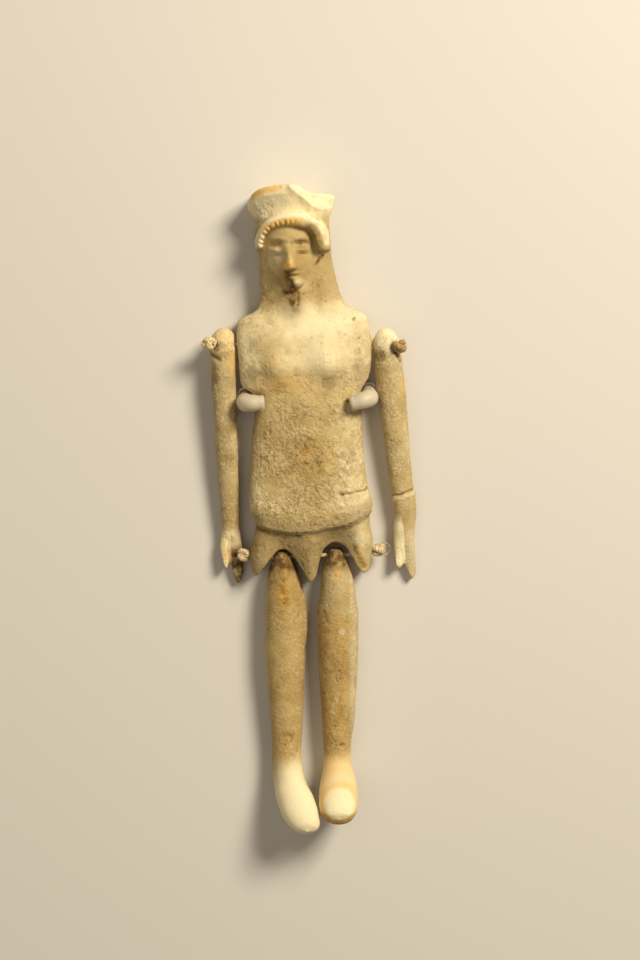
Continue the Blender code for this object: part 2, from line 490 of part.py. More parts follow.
def make_string(name, route, twine):
    """A string along its route, swelling into a round stopper knot beyond each end point."""
    first, last = (route[0] - route[1]).normalized(), (route[-1] - route[-2]).normalized()
    radius, knot = STRING_DIAMETER / 2, KNOT_DIAMETER / 2
    start = math.asin(radius / knot)
    turns = [start + (math.pi - 2 * start) * step / 7 for step in range(8)]
    swell = [(knot * (math.cos(start) - math.cos(turn)), knot * math.sin(turn)) for turn in turns]
    points = [route[0] + first * at for at, _ in reversed(swell)] + route[1:-1] + [route[-1] + last * at for at, _ in swell]
    radii = [size for _, size in reversed(swell)] + [radius] * (len(route) - 2) + [size for _, size in swell]
    rings = rod_rings(points, radii, 10)
    ends = [np.repeat(np.array(points[i])[None], 10, axis=0)[None] for i in (0, -1)]
    skin(name, np.concatenate([ends[0], rings, ends[1]]), twine)


def pin_route(outward):
    """The middle line of a display pin: up from its foot beside the waist, then over the waist's front edge."""
    tip_drop = PIN_TIP_DROP[outward]
    edge = abs(body_edges(PIN_HEIGHT)[0 if outward < 0 else 1]) * MM
    shank = edge + TOUCH_GAP + SLEEVE_DIAMETER / 2
    tip = edge - PIN_REACH
    over = body_front_at(outward * tip / MM, PIN_HEIGHT) * MM + TOUCH_GAP + SLEEVE_DIAMETER / 2
    turn = np.linspace(0, math.pi / 2, 5)
    elbow = [(shank - ELBOW_RADIUS * (1 - math.cos(a)), over - ELBOW_RADIUS * (1 - math.sin(a))) for a in turn]
    corners = [(shank, PIN_FOOT_THICKNESS), *elbow, (tip, over)]
    rise, span = over - PIN_FOOT_THICKNESS, shank - tip
    leaning = [PIN_LEAN * (over - z) / rise - tip_drop * (shank - x) / span for x, z in corners]
    return [Vector((outward * x, PIN_HEIGHT * MM + y, z)) for (x, z), y in zip(corners, leaning)], shank


def make_pin(side, outward, steel, rubber):
    route, shank = pin_route(outward)
    foot = route[0].copy()
    foot.z = 0.0
    disc = PIN_FOOT_DIAMETER / 2
    wire = PIN_WIRE_DIAMETER / 2
    rings = rod_rings(route, [wire] * len(route), 8)
    flat = rod_rings([foot, foot + Vector((0, 0, PIN_FOOT_THICKNESS))], [disc, disc], 8)
    flat_wire = rod_rings([route[0], route[0] + Vector((0, 0, TOUCH_GAP))], [wire] * 2, 8)
    inside_sleeve = (route[-2] - route[-1]).normalized() * TOUCH_GAP * 2
    rings[-1] += np.array(inside_sleeve)
    ends = [np.repeat(ring.mean(axis=0)[None], 8, axis=0)[None] for ring in (flat[0], rings[-1])]
    skin(f"pin_{side}", np.concatenate([ends[0], flat, flat_wire[:1], rings[1:], ends[1]]), steel)
    start = route[0] + Vector((0, 0, TOUCH_GAP))
    outer, inner = (rod_rings([start, *route[1:]], [size / 2] * len(route), 10) for size in (SLEEVE_DIAMETER, SLEEVE_BORE))
    skin(f"sleeve_{side}", np.concatenate([outer, inner[::-1]]), rubber, ring_of_rings=True)
    return shank + SLEEVE_DIAMETER / 2


def centre_on_floor():
    """Moves the whole doll sideways so that the middle of its outer box stands over the origin."""
    bpy.context.view_layer.update()
    graph = bpy.context.evaluated_depsgraph_get()
    shown = [made for made in bpy.data.objects if not made.hide_render]
    corners = np.concatenate([[corner.co[:] for corner in made.evaluated_get(graph).data.vertices] for made in shown])
    middle = (corners.min(axis=0) + corners.max(axis=0)) / 2
    anchor = bpy.data.objects.new("doll", None)
    bpy.context.scene.collection.objects.link(anchor)
    for made in list(bpy.data.objects):
        if made is not anchor:
            made.parent = anchor
    anchor.location = (-middle[0], -middle[1], 0.0)


def main():
    for old in list(bpy.data.objects):
        bpy.data.objects.remove(old)
    clay = material("fired clay", CLAY_COLOUR, 0.9)
    twine = material("twine", STRING_COLOUR, 0.95)
    steel = material("pin wire", WIRE_COLOUR, 0.35, 1.0)
    rubber = material("clear rubber sleeve", SLEEVE_COLOUR, 0.4)

    make_body(clay)
    right_outside = make_pin("right", -1, steel, rubber)
    left_outside = make_pin("left", 1, steel, rubber)
    right_shoulder = make_arm("right_arm", RIGHT_ARM, -1, clay, right_outside)
    left_shoulder = make_arm("left_arm", LEFT_ARM, 1, clay, left_outside)
    make_leg("right_leg", RIGHT_LEG, -7.4, clay)
    make_leg("left_leg", LEFT_LEG, 5.8, clay)
    left, right = body_edges(SHOULDER_STRING_HEIGHT)
    shoulders = [Vector((x, SHOULDER_STRING_HEIGHT, SHOULDER_STRING_DEPTH)) * MM for x in (left - 0.25, right + 0.25)]
    make_string("shoulder_string", [*right_shoulder, *shoulders, *reversed(left_shoulder)], twine)
    left, right = (Vector((x, HIP_STRING_HEIGHT, HIP_STRING_DEPTH)) * MM for x in body_edges(HIP_STRING_HEIGHT))
    outside = Vector((TOUCH_GAP, 0, 0))
    hips = [left - outside, left.lerp(right, 0.3), left.lerp(right, 0.7), right + outside]
    make_string("hip_string", hips, twine)
    centre_on_floor()


main()
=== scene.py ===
"""Jointed clay doll of an old Greek kind, lying on its back between two padded display pins.

The sections follow the doll as it is put together: the moulded body, the arms, the legs, the two strings
that tie them on, and the pins that hold the waist. The floor, the lights and the camera come last.
Forms are drawn in millimetres on a doll 165 mm tall, and are moved to the frame that the CAD model uses.
"""

import math

import bmesh
import bpy
import numpy as np
from mathutils import Matrix, Vector


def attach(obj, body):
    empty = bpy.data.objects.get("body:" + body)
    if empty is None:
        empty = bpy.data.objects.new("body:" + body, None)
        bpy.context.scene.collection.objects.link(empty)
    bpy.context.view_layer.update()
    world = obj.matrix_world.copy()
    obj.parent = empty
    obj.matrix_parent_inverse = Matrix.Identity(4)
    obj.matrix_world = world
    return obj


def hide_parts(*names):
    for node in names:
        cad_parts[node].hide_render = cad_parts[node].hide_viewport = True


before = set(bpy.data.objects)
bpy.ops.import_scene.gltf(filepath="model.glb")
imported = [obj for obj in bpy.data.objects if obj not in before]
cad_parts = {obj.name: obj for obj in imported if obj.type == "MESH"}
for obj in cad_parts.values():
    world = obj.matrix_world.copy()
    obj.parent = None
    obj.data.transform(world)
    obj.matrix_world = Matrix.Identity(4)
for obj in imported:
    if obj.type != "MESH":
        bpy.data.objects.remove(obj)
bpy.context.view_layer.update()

# The moulded body: cap, head, tunic and three hip lugs in one piece of buff fired clay. It was pressed into
# a one-sided mould, so the back is flat. The strings pass through two holes that were made in the wet clay.
MM = 0.001
CENTRING = np.array([-0.45, -83.0, 0.0])
STRING_THICK = 1.1
HOLE_WIDE = 2.1
TOUCH_GAP = 0.3
# String holes: height and depth
SHOULDER_HOLE = (125.6, 6.4)
HIP_HOLE = (70.9, 5.3)

# Outline: height, left edge, right edge
BODY_OUTLINE = np.array([
    (68.2, -15.7, 14.6), (71.5, -15.8, 15.2), (74.6, -15.3, 15.5), (77.5, -14.6, 15.0),
    (79.2, -14.1, 14.8), (80.6, -14.4, 14.9), (82.4, -15.2, 15.6), (84.5, -15.6, 15.8),
    (87.6, -15.6, 15.0), (91.5, -15.2, 14.5), (97.4, -14.6, 14.0), (103.0, -14.0, 13.8),
    (108.3, -13.4, 13.8), (112.2, -13.5, 13.8), (113.4, -14.4, 14.3), (114.4, -15.9, 15.0),
    (116.0, -16.7, 15.9), (118.6, -16.8, 16.5), (123.4, -17.0, 16.8), (127.0, -17.2, 16.6),
    (130.0, -17.0, 16.3), (131.5, -16.6, 15.9), (132.4, -15.6, 14.8), (133.4, -13.0, 12.7),
    (134.4, -11.6, 11.1), (136.1, -11.1, 10.2), (138.7, -10.8, 9.2), (145.0, -10.7, 7.8),
    (148.1, -10.9, 7.5), (149.6, -11.4, 7.5), (152.0, -11.6, 7.5), (154.0, -11.4, 7.4),
    (156.2, -11.0, 7.5), (158.0, -11.8, 8.1), (159.6, -12.7, 8.6), (161.0, -13.0, 8.9),
])  # fmt: skip
# Depth: height, front on the middle line, sides, how square the front is
BODY_DEPTH = np.array([
    (68.2, 9.8, 5.2, 0.50), (74.0, 11.2, 5.4, 0.50), (80.0, 12.3, 6.0, 0.55), (90.0, 12.9, 6.2, 0.60),
    (98.0, 12.7, 6.0, 0.65), (108.0, 12.0, 5.6, 0.70), (114.0, 12.0, 5.8, 0.65), (120.0, 12.4, 6.3, 0.60),
    (126.0, 12.0, 6.4, 0.60), (130.0, 11.2, 6.2, 0.62), (133.0, 10.2, 5.8, 0.75), (136.0, 9.9, 5.6, 0.85),
    (140.0, 10.2, 5.8, 0.90), (144.0, 10.8, 6.2, 0.90), (148.0, 11.5, 6.8, 0.95), (152.0, 12.5, 7.4, 1.00),
    (155.0, 13.1, 7.8, 1.00), (157.5, 13.5, 8.0, 1.00), (159.5, 15.2, 8.2, 1.00), (161.0, 16.9, 8.4, 1.00),
])  # fmt: skip
# Edges seen from the front, each by place across and height: the lugs, the cap, its break and the hem
LUG_EDGE = np.array([
    (-15.7, 67.7), (-14.8, 66.6), (-12.3, 68.8), (-10.2, 71.5), (-8.8, 72.8), (-7.4, 73.2), (-6.2, 72.7),
    (-4.9, 71.3), (-2.5, 67.2), (-0.8, 64.6), (0.6, 66.0), (1.8, 70.4), (3.2, 73.3), (5.8, 74.5),
    (8.4, 73.2), (10.1, 70.0), (11.8, 67.1), (13.0, 66.3), (14.6, 67.4),
])  # fmt: skip
CAP_EDGE = np.array([
    (-13.0, 160.9), (-11.6, 163.1), (-9.5, 164.3), (-6.5, 164.8), (-2.9, 165.0), (-0.5, 164.8),
    (1.4, 163.5), (4.0, 162.7), (7.4, 162.3), (8.4, 162.2), (8.9, 161.9),
])  # fmt: skip
CAP_BREAK = np.array([
    (-3.2, 166.0), (-2.0, 164.3), (-0.5, 162.6), (1.4, 161.3), (3.7, 159.3), (5.6, 158.6), (8.6, 159.0),
])  # fmt: skip
HEM_EDGE = np.array([(-15.0, 80.2), (-10.6, 78.2), (-4.0, 77.1), (4.6, 77.8), (11.1, 79.6), (15.0, 81.8)])
# Heights between which rows stretch to the lugs' and the cap's edges, and how those ends are closed
LUG_ZONE_TOP, CAP_ZONE_FOOT, EDGE_ROUND, END_ROWS = 80.0, 157.0, 0.7, 5

# The face: height, left edge, right edge; and height, front on its middle line
FACE_OUTLINE = np.array([
    (137.9, -3.7, -2.0), (138.4, -4.3, -1.3), (139.4, -4.7, 0.0), (140.5, -5.0, 0.8), (141.5, -5.4, 1.2),
    (142.5, -6.1, 1.8), (143.3, -6.9, 2.3), (144.1, -7.6, 2.7), (145.3, -8.1, 3.0), (146.7, -8.4, 3.3),
    (149.5, -8.8, 3.5), (152.3, -9.1, 3.6), (156.0, -8.4, 3.0),
])  # fmt: skip
FACE_FRONT = np.array([
    (137.0, 12.4), (139.5, 13.4), (142.0, 14.2), (146.0, 14.8), (151.0, 15.0), (155.0, 14.2),
])  # fmt: skip
# The nose: height, middle, rise, half width
NOSE_LINE = np.array([
    (143.5, -3.0, 2.4, 1.7), (145.0, -2.75, 2.7, 1.7), (146.5, -2.75, 2.1, 1.55), (148.5, -3.1, 1.35, 1.35),
    (150.5, -3.8, 0.7, 1.4),
])  # fmt: skip
FACE_EDGE_DEPTH, NOSE_X, EYE_APART = 8.3, -3.05, 3.6
FRINGE_X, FRINGE_Y, FRINGE_WIDTH, FRINGE_HEIGHT, FRINGE_END = -2.4, 148.9, 8.3, 7.6, 11.2
FRINGE_THICK = np.array([(-1.0, 1.0), (-0.6, 1.35), (0.0, 1.7), (0.6, 1.9), (1.0, 2.1)])
CURL_WIDTH, CURL_DEPTH = 1.35, 0.5


def smooth(at, places, values):
    """A curve through (place, value) pairs: Hermite cubics with harmonic means of the neighbours' slopes."""
    places, values = np.asarray(places, float), np.asarray(values, float)
    rise = np.diff(values) / np.diff(places)
    slope = np.concatenate([rise[:1], np.zeros(len(rise) - 1), rise[-1:]])
    climbing = rise[:-1] * rise[1:] > 0
    total = np.where(climbing, rise[:-1] + rise[1:], 1.0)
    slope[1:-1] = np.where(climbing, 2 * rise[:-1] * rise[1:] / total, 0.0)
    i = np.clip(np.searchsorted(places, at) - 1, 0, len(places) - 2)
    step = places[i + 1] - places[i]
    t = np.clip((at - places[i]) / step, 0, 1)
    back = 1 - t
    ends = values[i] * back * back * (1 + 2 * t) + values[i + 1] * t * t * (3 - 2 * t)
    return ends + step * t * back * (slope[i] * back - slope[i + 1] * t)


def curve(table, at, column=1):
    """One column of a table as a smooth curve over its first column."""
    return smooth(at, table[:, 0], table[:, column])


def ramp(value, low, high):
    """0 below low, 1 above high, 3t^2 - 2t^3 between them."""
    t = np.clip((value - low) / (high - low), 0, 1)
    return t * t * (3 - 2 * t)


def band(value, foot, low, high, top):
    """1 from low to high, falling smoothly to 0 at foot below them and at top above them."""
    return ramp(value, foot, low) * ramp(value, top, high)


def bump(distance, width):
    """e to the minus (distance / width) squared."""
    return np.exp(-((distance / width) ** 2))


def blend_up(first, second, softness):
    """The higher of two surfaces, with a parabola of the given softness where they meet."""
    share = np.clip(0.5 + (first - second) / (2 * softness), 0, 1)
    return second + (first - second) * share + softness * share * (1 - share)


def scatter(cell, seed):
    """A repeatable number from 0 to 1 for each whole-number cell: its three numbers multiplied and mixed."""
    mixed = cell[..., 0] * 374761393 + cell[..., 1] * 668265263 + cell[..., 2] * 1440662683 + seed * 974711
    mixed = mixed & 0xFFFFFFFF
    mixed = ((mixed ^ (mixed >> 13)) * 1274126177) & 0xFFFFFFFF
    return (mixed ^ (mixed >> 16)) / 4294967296.0


def drift(places, size, seed):
    """Smooth unevenness from -1 to 1: random values at the corners of cubes, blended by 3t^2 - 2t^3."""
    scaled = places / size
    base = np.floor(scaled).astype(np.int64)
    t = scaled - base
    t = t * t * (3 - 2 * t)
    total = 0.0
    for corner in np.ndindex(2, 2, 2):
        weight = np.prod(np.where(np.array(corner) == 1, t, 1 - t), axis=-1)
        total = total + weight * scatter(base + np.array(corner), seed)
    return 2 * total - 1


def grains(places, size, seed, share):
    """Sand grains, 0 to 1: the highest of half balls at random spots, one ball in this share of the cubes."""
    scaled = places / size
    base = np.floor(scaled).astype(np.int64)
    highest = np.zeros(places.shape[:-1])
    for corner in np.ndindex(3, 3, 3):
        cell = base + np.array(corner) - 1
        spot = cell + np.stack([scatter(cell, seed + k) for k in (1, 2, 3)], axis=-1)
        radius = 0.3 + 0.4 * scatter(cell, seed + 4)
        off = np.linalg.norm(scaled - spot, axis=-1) / radius
        dome = np.sqrt(np.maximum(1 - off * off, 0)) * radius / 0.7
        highest = np.maximum(highest, np.where(scatter(cell, seed + 5) < share, dome, 0))
    return highest


def pinholes(places, seed):
    """Small pits where grit has dropped out, 0 to 1: sparse round spots, more where a slow drift is high."""
    return ramp(grains(places, 0.75, seed, 0.16), 0.35, 0.6) * ramp(drift(places, 5.0, seed + 1), -0.5, 0.4)


def patch(places, x, y, wide, tall, seed, ragged=0.45):
    """A spot with an uneven rim: 1 inside an oval whose distance is disturbed by drift, 0 outside it."""
    off = np.hypot((places[..., 0] - x) / wide, (places[..., 1] - y) / tall)
    return ramp(off + ragged * drift(places, 0.5 * min(wide, tall) + 0.4, seed), 1.2, 0.7)


def oval(places, x, y, wide, tall):
    """A soft spot: e to the minus squared distance, counted in its half width and half height."""
    return bump(np.hypot((places[..., 0] - x) / wide, (places[..., 1] - y) / tall), 1.0)


def off_line(x, y, start, end):
    """Distance of each place from the straight line between two places."""
    along_x, along_y = end[0] - start[0], end[1] - start[1]
    share = ((x - start[0]) * along_x + (y - start[1]) * along_y) / (along_x**2 + along_y**2)
    share = np.clip(share, 0, 1)
    return np.hypot(x - start[0] - share * along_x, y - start[1] - share * along_y)


def off_smear(x, y):
    """Distance from the leaning groove that runs down beside the mouth to under the chin."""
    return x + 3.9 - 0.26 * (144.0 - y)


def face(x, y):
    """The face: an egg between its edges, (1 - u^2)^0.6 deep, plus worn bumps and hollows for the features."""
    left, right = (curve(FACE_OUTLINE, y, k) for k in (1, 2))
    across = (x - (left + right) / 2) / ((right - left) / 2)
    inside = 1 - across**2 - np.maximum((138.9 - y) / 1.1, 0) ** 2
    depth = curve(FACE_FRONT, y) - FACE_EDGE_DEPTH
    egg = FACE_EDGE_DEPTH + depth * np.maximum(inside, 0) ** 0.6 + 12 * np.clip(inside, -1, 0)
    from_nose = x - curve(NOSE_LINE, y)
    side = np.abs(x - NOSE_X)
    from_eye = side - EYE_APART
    brow_line = 151.7 - 0.07 * (from_eye + 0.6) ** 2
    brow = 0.4 * bump(y - brow_line, 0.65) * ramp(side, 5.8, 4.4)
    socket = -1.2 * bump(from_eye + 0.1, 2.0) * bump(y - 150.2, 0.85)
    eye = 0.95 * bump(from_eye, 1.5) * bump(y - 148.8, 0.7)
    under = -0.65 * bump(from_eye, 1.5) * bump(y - 147.5, 0.4)
    cheek = 0.35 * bump(side - 3.4, 1.6) * bump(y - 145.4, 1.3)
    rise, half = (curve(NOSE_LINE, y, k) for k in (2, 3))
    nose = rise * band(y, 143.1, 144.2, 149.4, 151.6) * bump(from_nose, half)
    wings = 0.45 * bump(np.abs(from_nose + 0.1) - 1.35, 0.55) * bump(y - 144.4, 0.6)
    upper_lip = 0.5 * bump(x + 1.6, 1.6) * bump(y - 143.0, 0.5)
    mouth = -0.4 * bump(x + 2.0, 1.2) * bump(y - 142.15, 0.24)
    lower_lip = 0.25 * bump(x + 2.0, 1.4) * bump(y - 141.5, 0.4)
    chin = 0.3 * bump(x + 2.9, 1.6) * bump(y - 139.0, 0.6)
    features = brow + socket + eye + under + cheek + nose + wings + upper_lip + mouth + lower_lip + chin
    lump = 1.5 * np.sqrt(np.maximum(1 - ((x + 1.0) / 1.75) ** 2 - ((y - 140.35) / 1.25) ** 2, 0))
    smear = -0.4 * bump(off_smear(x, y), 0.5) * band(y, 138.8, 139.8, 143.2, 143.8)
    return egg + features + np.maximum(lump, smear)


def fringe_places(x, y):
    """Where each place lies on the rolled hair: along its bent middle line, and off it in half widths."""
    dx, dy = x - FRINGE_X, y - FRINGE_Y
    reach = np.hypot(dx, dy) + 1e-9
    out = (np.abs(dx / FRINGE_WIDTH) ** 2.4 + np.abs(dy / FRINGE_HEIGHT) ** 2.4) ** (1 / 2.4) + 1e-9
    thick = curve(FRINGE_THICK, np.clip(dx / FRINGE_WIDTH, -1, 1))
    along = np.arctan2(dx / FRINGE_WIDTH, dy / FRINGE_HEIGHT) * (FRINGE_WIDTH + FRINGE_HEIGHT) / 2
    return along, (out - 1) * reach / out / thick, thick


def curls(along):
    """How far each place along the rolled hair is from a groove between two curls, 0 to 1."""
    return np.abs(np.sin(math.pi * (along + 0.12 * np.sin(1.9 * along)) / CURL_WIDTH)) ** 0.6


def fringe(x, y):
    """The rolled hair over the forehead: a half round along a bent line, its lower edge cut into curls."""
    along, off, thick = fringe_places(x, y)
    past_end = np.maximum(np.abs(along) - FRINGE_END, 0) / thick
    worn = ramp(along, 3.0, -1.0)
    curl = curls(along)
    low = ramp(off, 0.05, -0.55)
    from_core = np.hypot(off * (1 + 0.16 * (1 - curl) * worn * low), past_end)
    wrap = np.sqrt(np.maximum(1 - ((x - FRINGE_X) / 10.2) ** 2, 0))
    roll = np.where(from_core < 1, np.sqrt(np.maximum(1 - from_core**2, 0)), -8.0 * (from_core - 1))
    return 7.2 + 7.6 * wrap + thick * roll + CURL_DEPTH * (curl - 1) * low * worn


def ear_crease(x, y, wide):
    """A bent crease below the right end of the fringe, from two straight parts, shallower towards its foot."""
    off = np.minimum(off_line(x, y, (5.5, 147.1), (4.5, 146.3)), off_line(x, y, (4.5, 146.3), (3.4, 144.6)))
    return bump(off, wide) * ramp(y, 143.6, 146.4)


def body_front(x, y, height, inward):
    """Front surface: side height plus (depth - side) * inward^square, with face, hair, breasts, hem and folds.
    The cap's front falls away above its break and at its rubbed rim."""
    depth, side, square = (curve(BODY_DEPTH, height, k) for k in (1, 2, 3))
    form = side + (depth - side) * inward**square
    neck = 1.5 * bump(x + 2.4, 3.4) * band(y, 130.5, 135.0, 138.0, 141.0)
    creases = -0.5 * (bump(x + 7.4, 1.5) + bump(x - 3.2, 1.5)) * band(y, 131.0, 134.5, 139.0, 143.0)
    form = form + (neck + creases) * inward
    on_head = ramp(y, 134.5, 136.5) * ramp(inward, 0.0, 0.3)
    form = form + on_head * (blend_up(face(x, y), form, 2.0) - form)
    form = form + ramp(inward, 0.0, 0.25) * (blend_up(fringe(x, y), form, 0.3) - form)
    form = form - 0.8 * ear_crease(x, y, 0.3)
    broken = 0.8 * np.clip(y - curve(CAP_BREAK, x), 0, 4)
    rubbed_rim = 0.7 * np.clip(y - curve(CAP_EDGE, x) + 2.2, 0, 3) * ramp(x, -1.0, -3.5)
    form = form - (broken + rubbed_rim) * ramp(inward, 0.0, 0.4)
    low = np.where(y < 119.4, 3.9, 5.2)
    breasts = 1.8 * (bump(x + 7.0, 4.2) + bump(x - 5.4, 4.2)) * bump(y - 119.4, low)
    hem = band(y - curve(HEM_EDGE, x), -0.4, 0.9, 3, 12)
    folds = 0.5 * (bump(x + 13.0, 2.8) + bump(x + 0.9, 2.6) + bump(x - 12.2, 2.8)) - 0.3
    return form + (breasts + hem + folds * ramp(y, 78.0, 75.0)) * ramp(inward, 0.0, 0.6)


def close_ends(x, y, front, back, side):
    """Closes both ends of the two sheets: a quarter round of EDGE_ROUND in two rows, then END_ROWS rows over
    the flat end, where z = edge + (side - edge) * k / END_ROWS."""
    middle = side + 0 * x
    rounding = ((0.3, 0.7), (1.0, 1.0))  # inset and drop of each row, as shares of EDGE_ROUND

    def end_rows(edge, centre):
        rows = [edge + np.clip(centre - edge, -inset * EDGE_ROUND, inset * EDGE_ROUND) for inset, _ in rounding]
        return rows + [rows[-1] + (centre - rows[-1]) * k / END_ROWS for k in range(1, END_ROWS + 1)]

    def with_ends(sheet):
        foot, top = (end_rows(sheet[at], middle[at]) for at in (slice(0, 1), slice(-1, None)))
        return np.concatenate([*foot[::-1], sheet, *top])

    drops = EDGE_ROUND * np.array([drop for _, drop in rounding] + [1.0] * END_ROWS)[:, None]
    tall = np.concatenate([y[:1] - drops[::-1], y, y[-1:] + drops])
    count = len(drops)
    wide = np.concatenate([np.repeat(x[:1], count, axis=0), x, np.repeat(x[-1:], count, axis=0)])
    return (wide, wide), (tall, tall), (with_ends(front), with_ends(back))


def around(sheets, coarse):
    """Rings from a front and a back sheet: the front's columns, then each coarse-th column of the back. On the
    first and last rows, where the sheets meet, the front's columns close up to the nearest of these."""
    back = slice(-1 - coarse, 0, -coarse)
    near = np.rint(np.arange(sheets[0][0].shape[1]) / coarse).astype(int) * coarse
    fronts = [np.concatenate([front[:1, near], front[1:-1], front[-1:, near]]) for front, _ in sheets]
    return np.stack([np.concatenate([f, rear[:, back]], axis=1) for f, (_, rear) in zip(fronts, sheets)], axis=2)


def body_rings(heights, columns, coarse):
    """Body rings: x = middle + half width * u. Lug and cap rows are stretched in y to reach their edges."""
    t = np.linspace(-1, 1, columns + 1)
    u = (t + np.sin(t * math.pi / 2)) / 2
    inward = np.sqrt(np.maximum(1 - u * u, 0))[None, :]
    height = heights[:, None]
    left, right = (curve(BODY_OUTLINE, height, k) for k in (1, 2))
    x = (left + right) / 2 + (right - left) / 2 * u[None, :]
    foot, top = heights[0], heights[-1]
    lug_reach = curve(LUG_EDGE, x[:1]) + EDGE_ROUND - foot
    cap_reach = curve(CAP_EDGE, x[-1:]) - EDGE_ROUND - top
    y = height + lug_reach * np.clip((LUG_ZONE_TOP - height) / (LUG_ZONE_TOP - foot), 0, 1)
    y = y + cap_reach * np.clip((height - CAP_ZONE_FOOT) / (top - CAP_ZONE_FOOT), 0, 1)
    side = curve(BODY_DEPTH, height, 2)
    front = body_front(x, y, height, inward)
    front[:, 0] = front[:, -1] = side[:, 0]
    back_bottom = 1.2 * ramp(height, LUG_ZONE_TOP, foot)
    back = np.maximum(side - (side - back_bottom + 0.6) * inward**0.35, back_bottom)
    return around(close_ends(x, y, front, back, side), coarse)


def outward_normals(rings):
    """Unit normals of a stack of rings: the cross product of the steps round and along, turned outward."""
    round_step = np.roll(rings, -1, axis=1) - np.roll(rings, 1, axis=1)
    normal = np.cross(round_step, np.gradient(rings, axis=0))
    normal = np.nan_to_num(normal / (np.linalg.norm(normal, axis=2, keepdims=True) + 1e-12))
    away = rings - rings.mean(axis=1, keepdims=True)
    return normal * (1 if (normal * away).sum() > 0 else -1)


def in_metres(points):
    """Points of the doll in millimetres, moved to the CAD model's frame."""
    return (points + CENTRING) * MM


def surface_mesh(name, rings, marks=None):
    """A closed mesh from rings of points in metres, with one float attribute for each named mark."""
    count, points = rings.shape[:2]
    mesh = bpy.data.meshes.new(name)
    here = np.arange(count * points).reshape(count, points)
    beside = np.roll(here, -1, axis=1)
    quads = np.stack([here[:-1], beside[:-1], beside[1:], here[1:]], axis=-1).reshape(-1, 4)
    mesh.from_pydata(rings.reshape(-1, 3), [], quads.tolist())
    for mark, values in (marks or {}).items():
        mesh.attributes.new(mark, "FLOAT", "POINT").data.foreach_set("value", values.astype(np.float32).ravel())
    shape = bmesh.new()
    shape.from_mesh(mesh)
    bmesh.ops.remove_doubles(shape, verts=shape.verts, dist=1e-7)
    bmesh.ops.recalc_face_normals(shape, faces=shape.faces)
    shape.to_mesh(mesh)
    shape.free()
    mesh.shade_smooth()
    return mesh


def place_piece(name, mesh, finish, node):
    """Puts a finished mesh in the scene as the piece that stands for a CAD node."""
    mesh.materials.append(finish)
    piece = bpy.data.objects.new(name, mesh)
    bpy.context.scene.collection.objects.link(piece)
    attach(piece, "root")
    if node:
        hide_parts(node)
    return piece


def colour(code):
    """An sRGB hex code as linear red, green, blue and 1: ((v + 0.055) / 1.055)^2.4 above 0.04045."""
    values = [int(code[k : k + 2], 16) / 255 for k in (1, 3, 5)]
    return (*((v / 12.92 if v <= 0.04045 else ((v + 0.055) / 1.055) ** 2.4) for v in values), 1.0)


def add(tree, kind, settings=None, **links):
    """Adds a node, sets its own settings, and gives its inputs a value or another node's output."""
    made = tree.nodes.new(kind)
    for setting, value in (settings or {}).items():
        setattr(made, setting, value)
    for name, value in links.items():
        key = int(name[1:]) if name[0] == "i" and name[1:].isdigit() else name.replace("_", " ")
        if isinstance(value, bpy.types.NodeSocket):
            tree.links.new(value, made.inputs[key])
        else:
            made.inputs[key].default_value = value
    return made


def new_finish(name):
    """A material with only its principled shader, and its node tree."""
    finish = bpy.data.materials.new(name)
    finish.use_nodes = True
    return finish, finish.node_tree, finish.node_tree.nodes["Principled BSDF"]


# Pattern sizes in millimetres. The sand is drawn coarser than real silt, so that it shows.
BROAD_TONE, CLOUD, SAND, CRUMB = 6.25, 1.6129, 0.41667, 0.66667


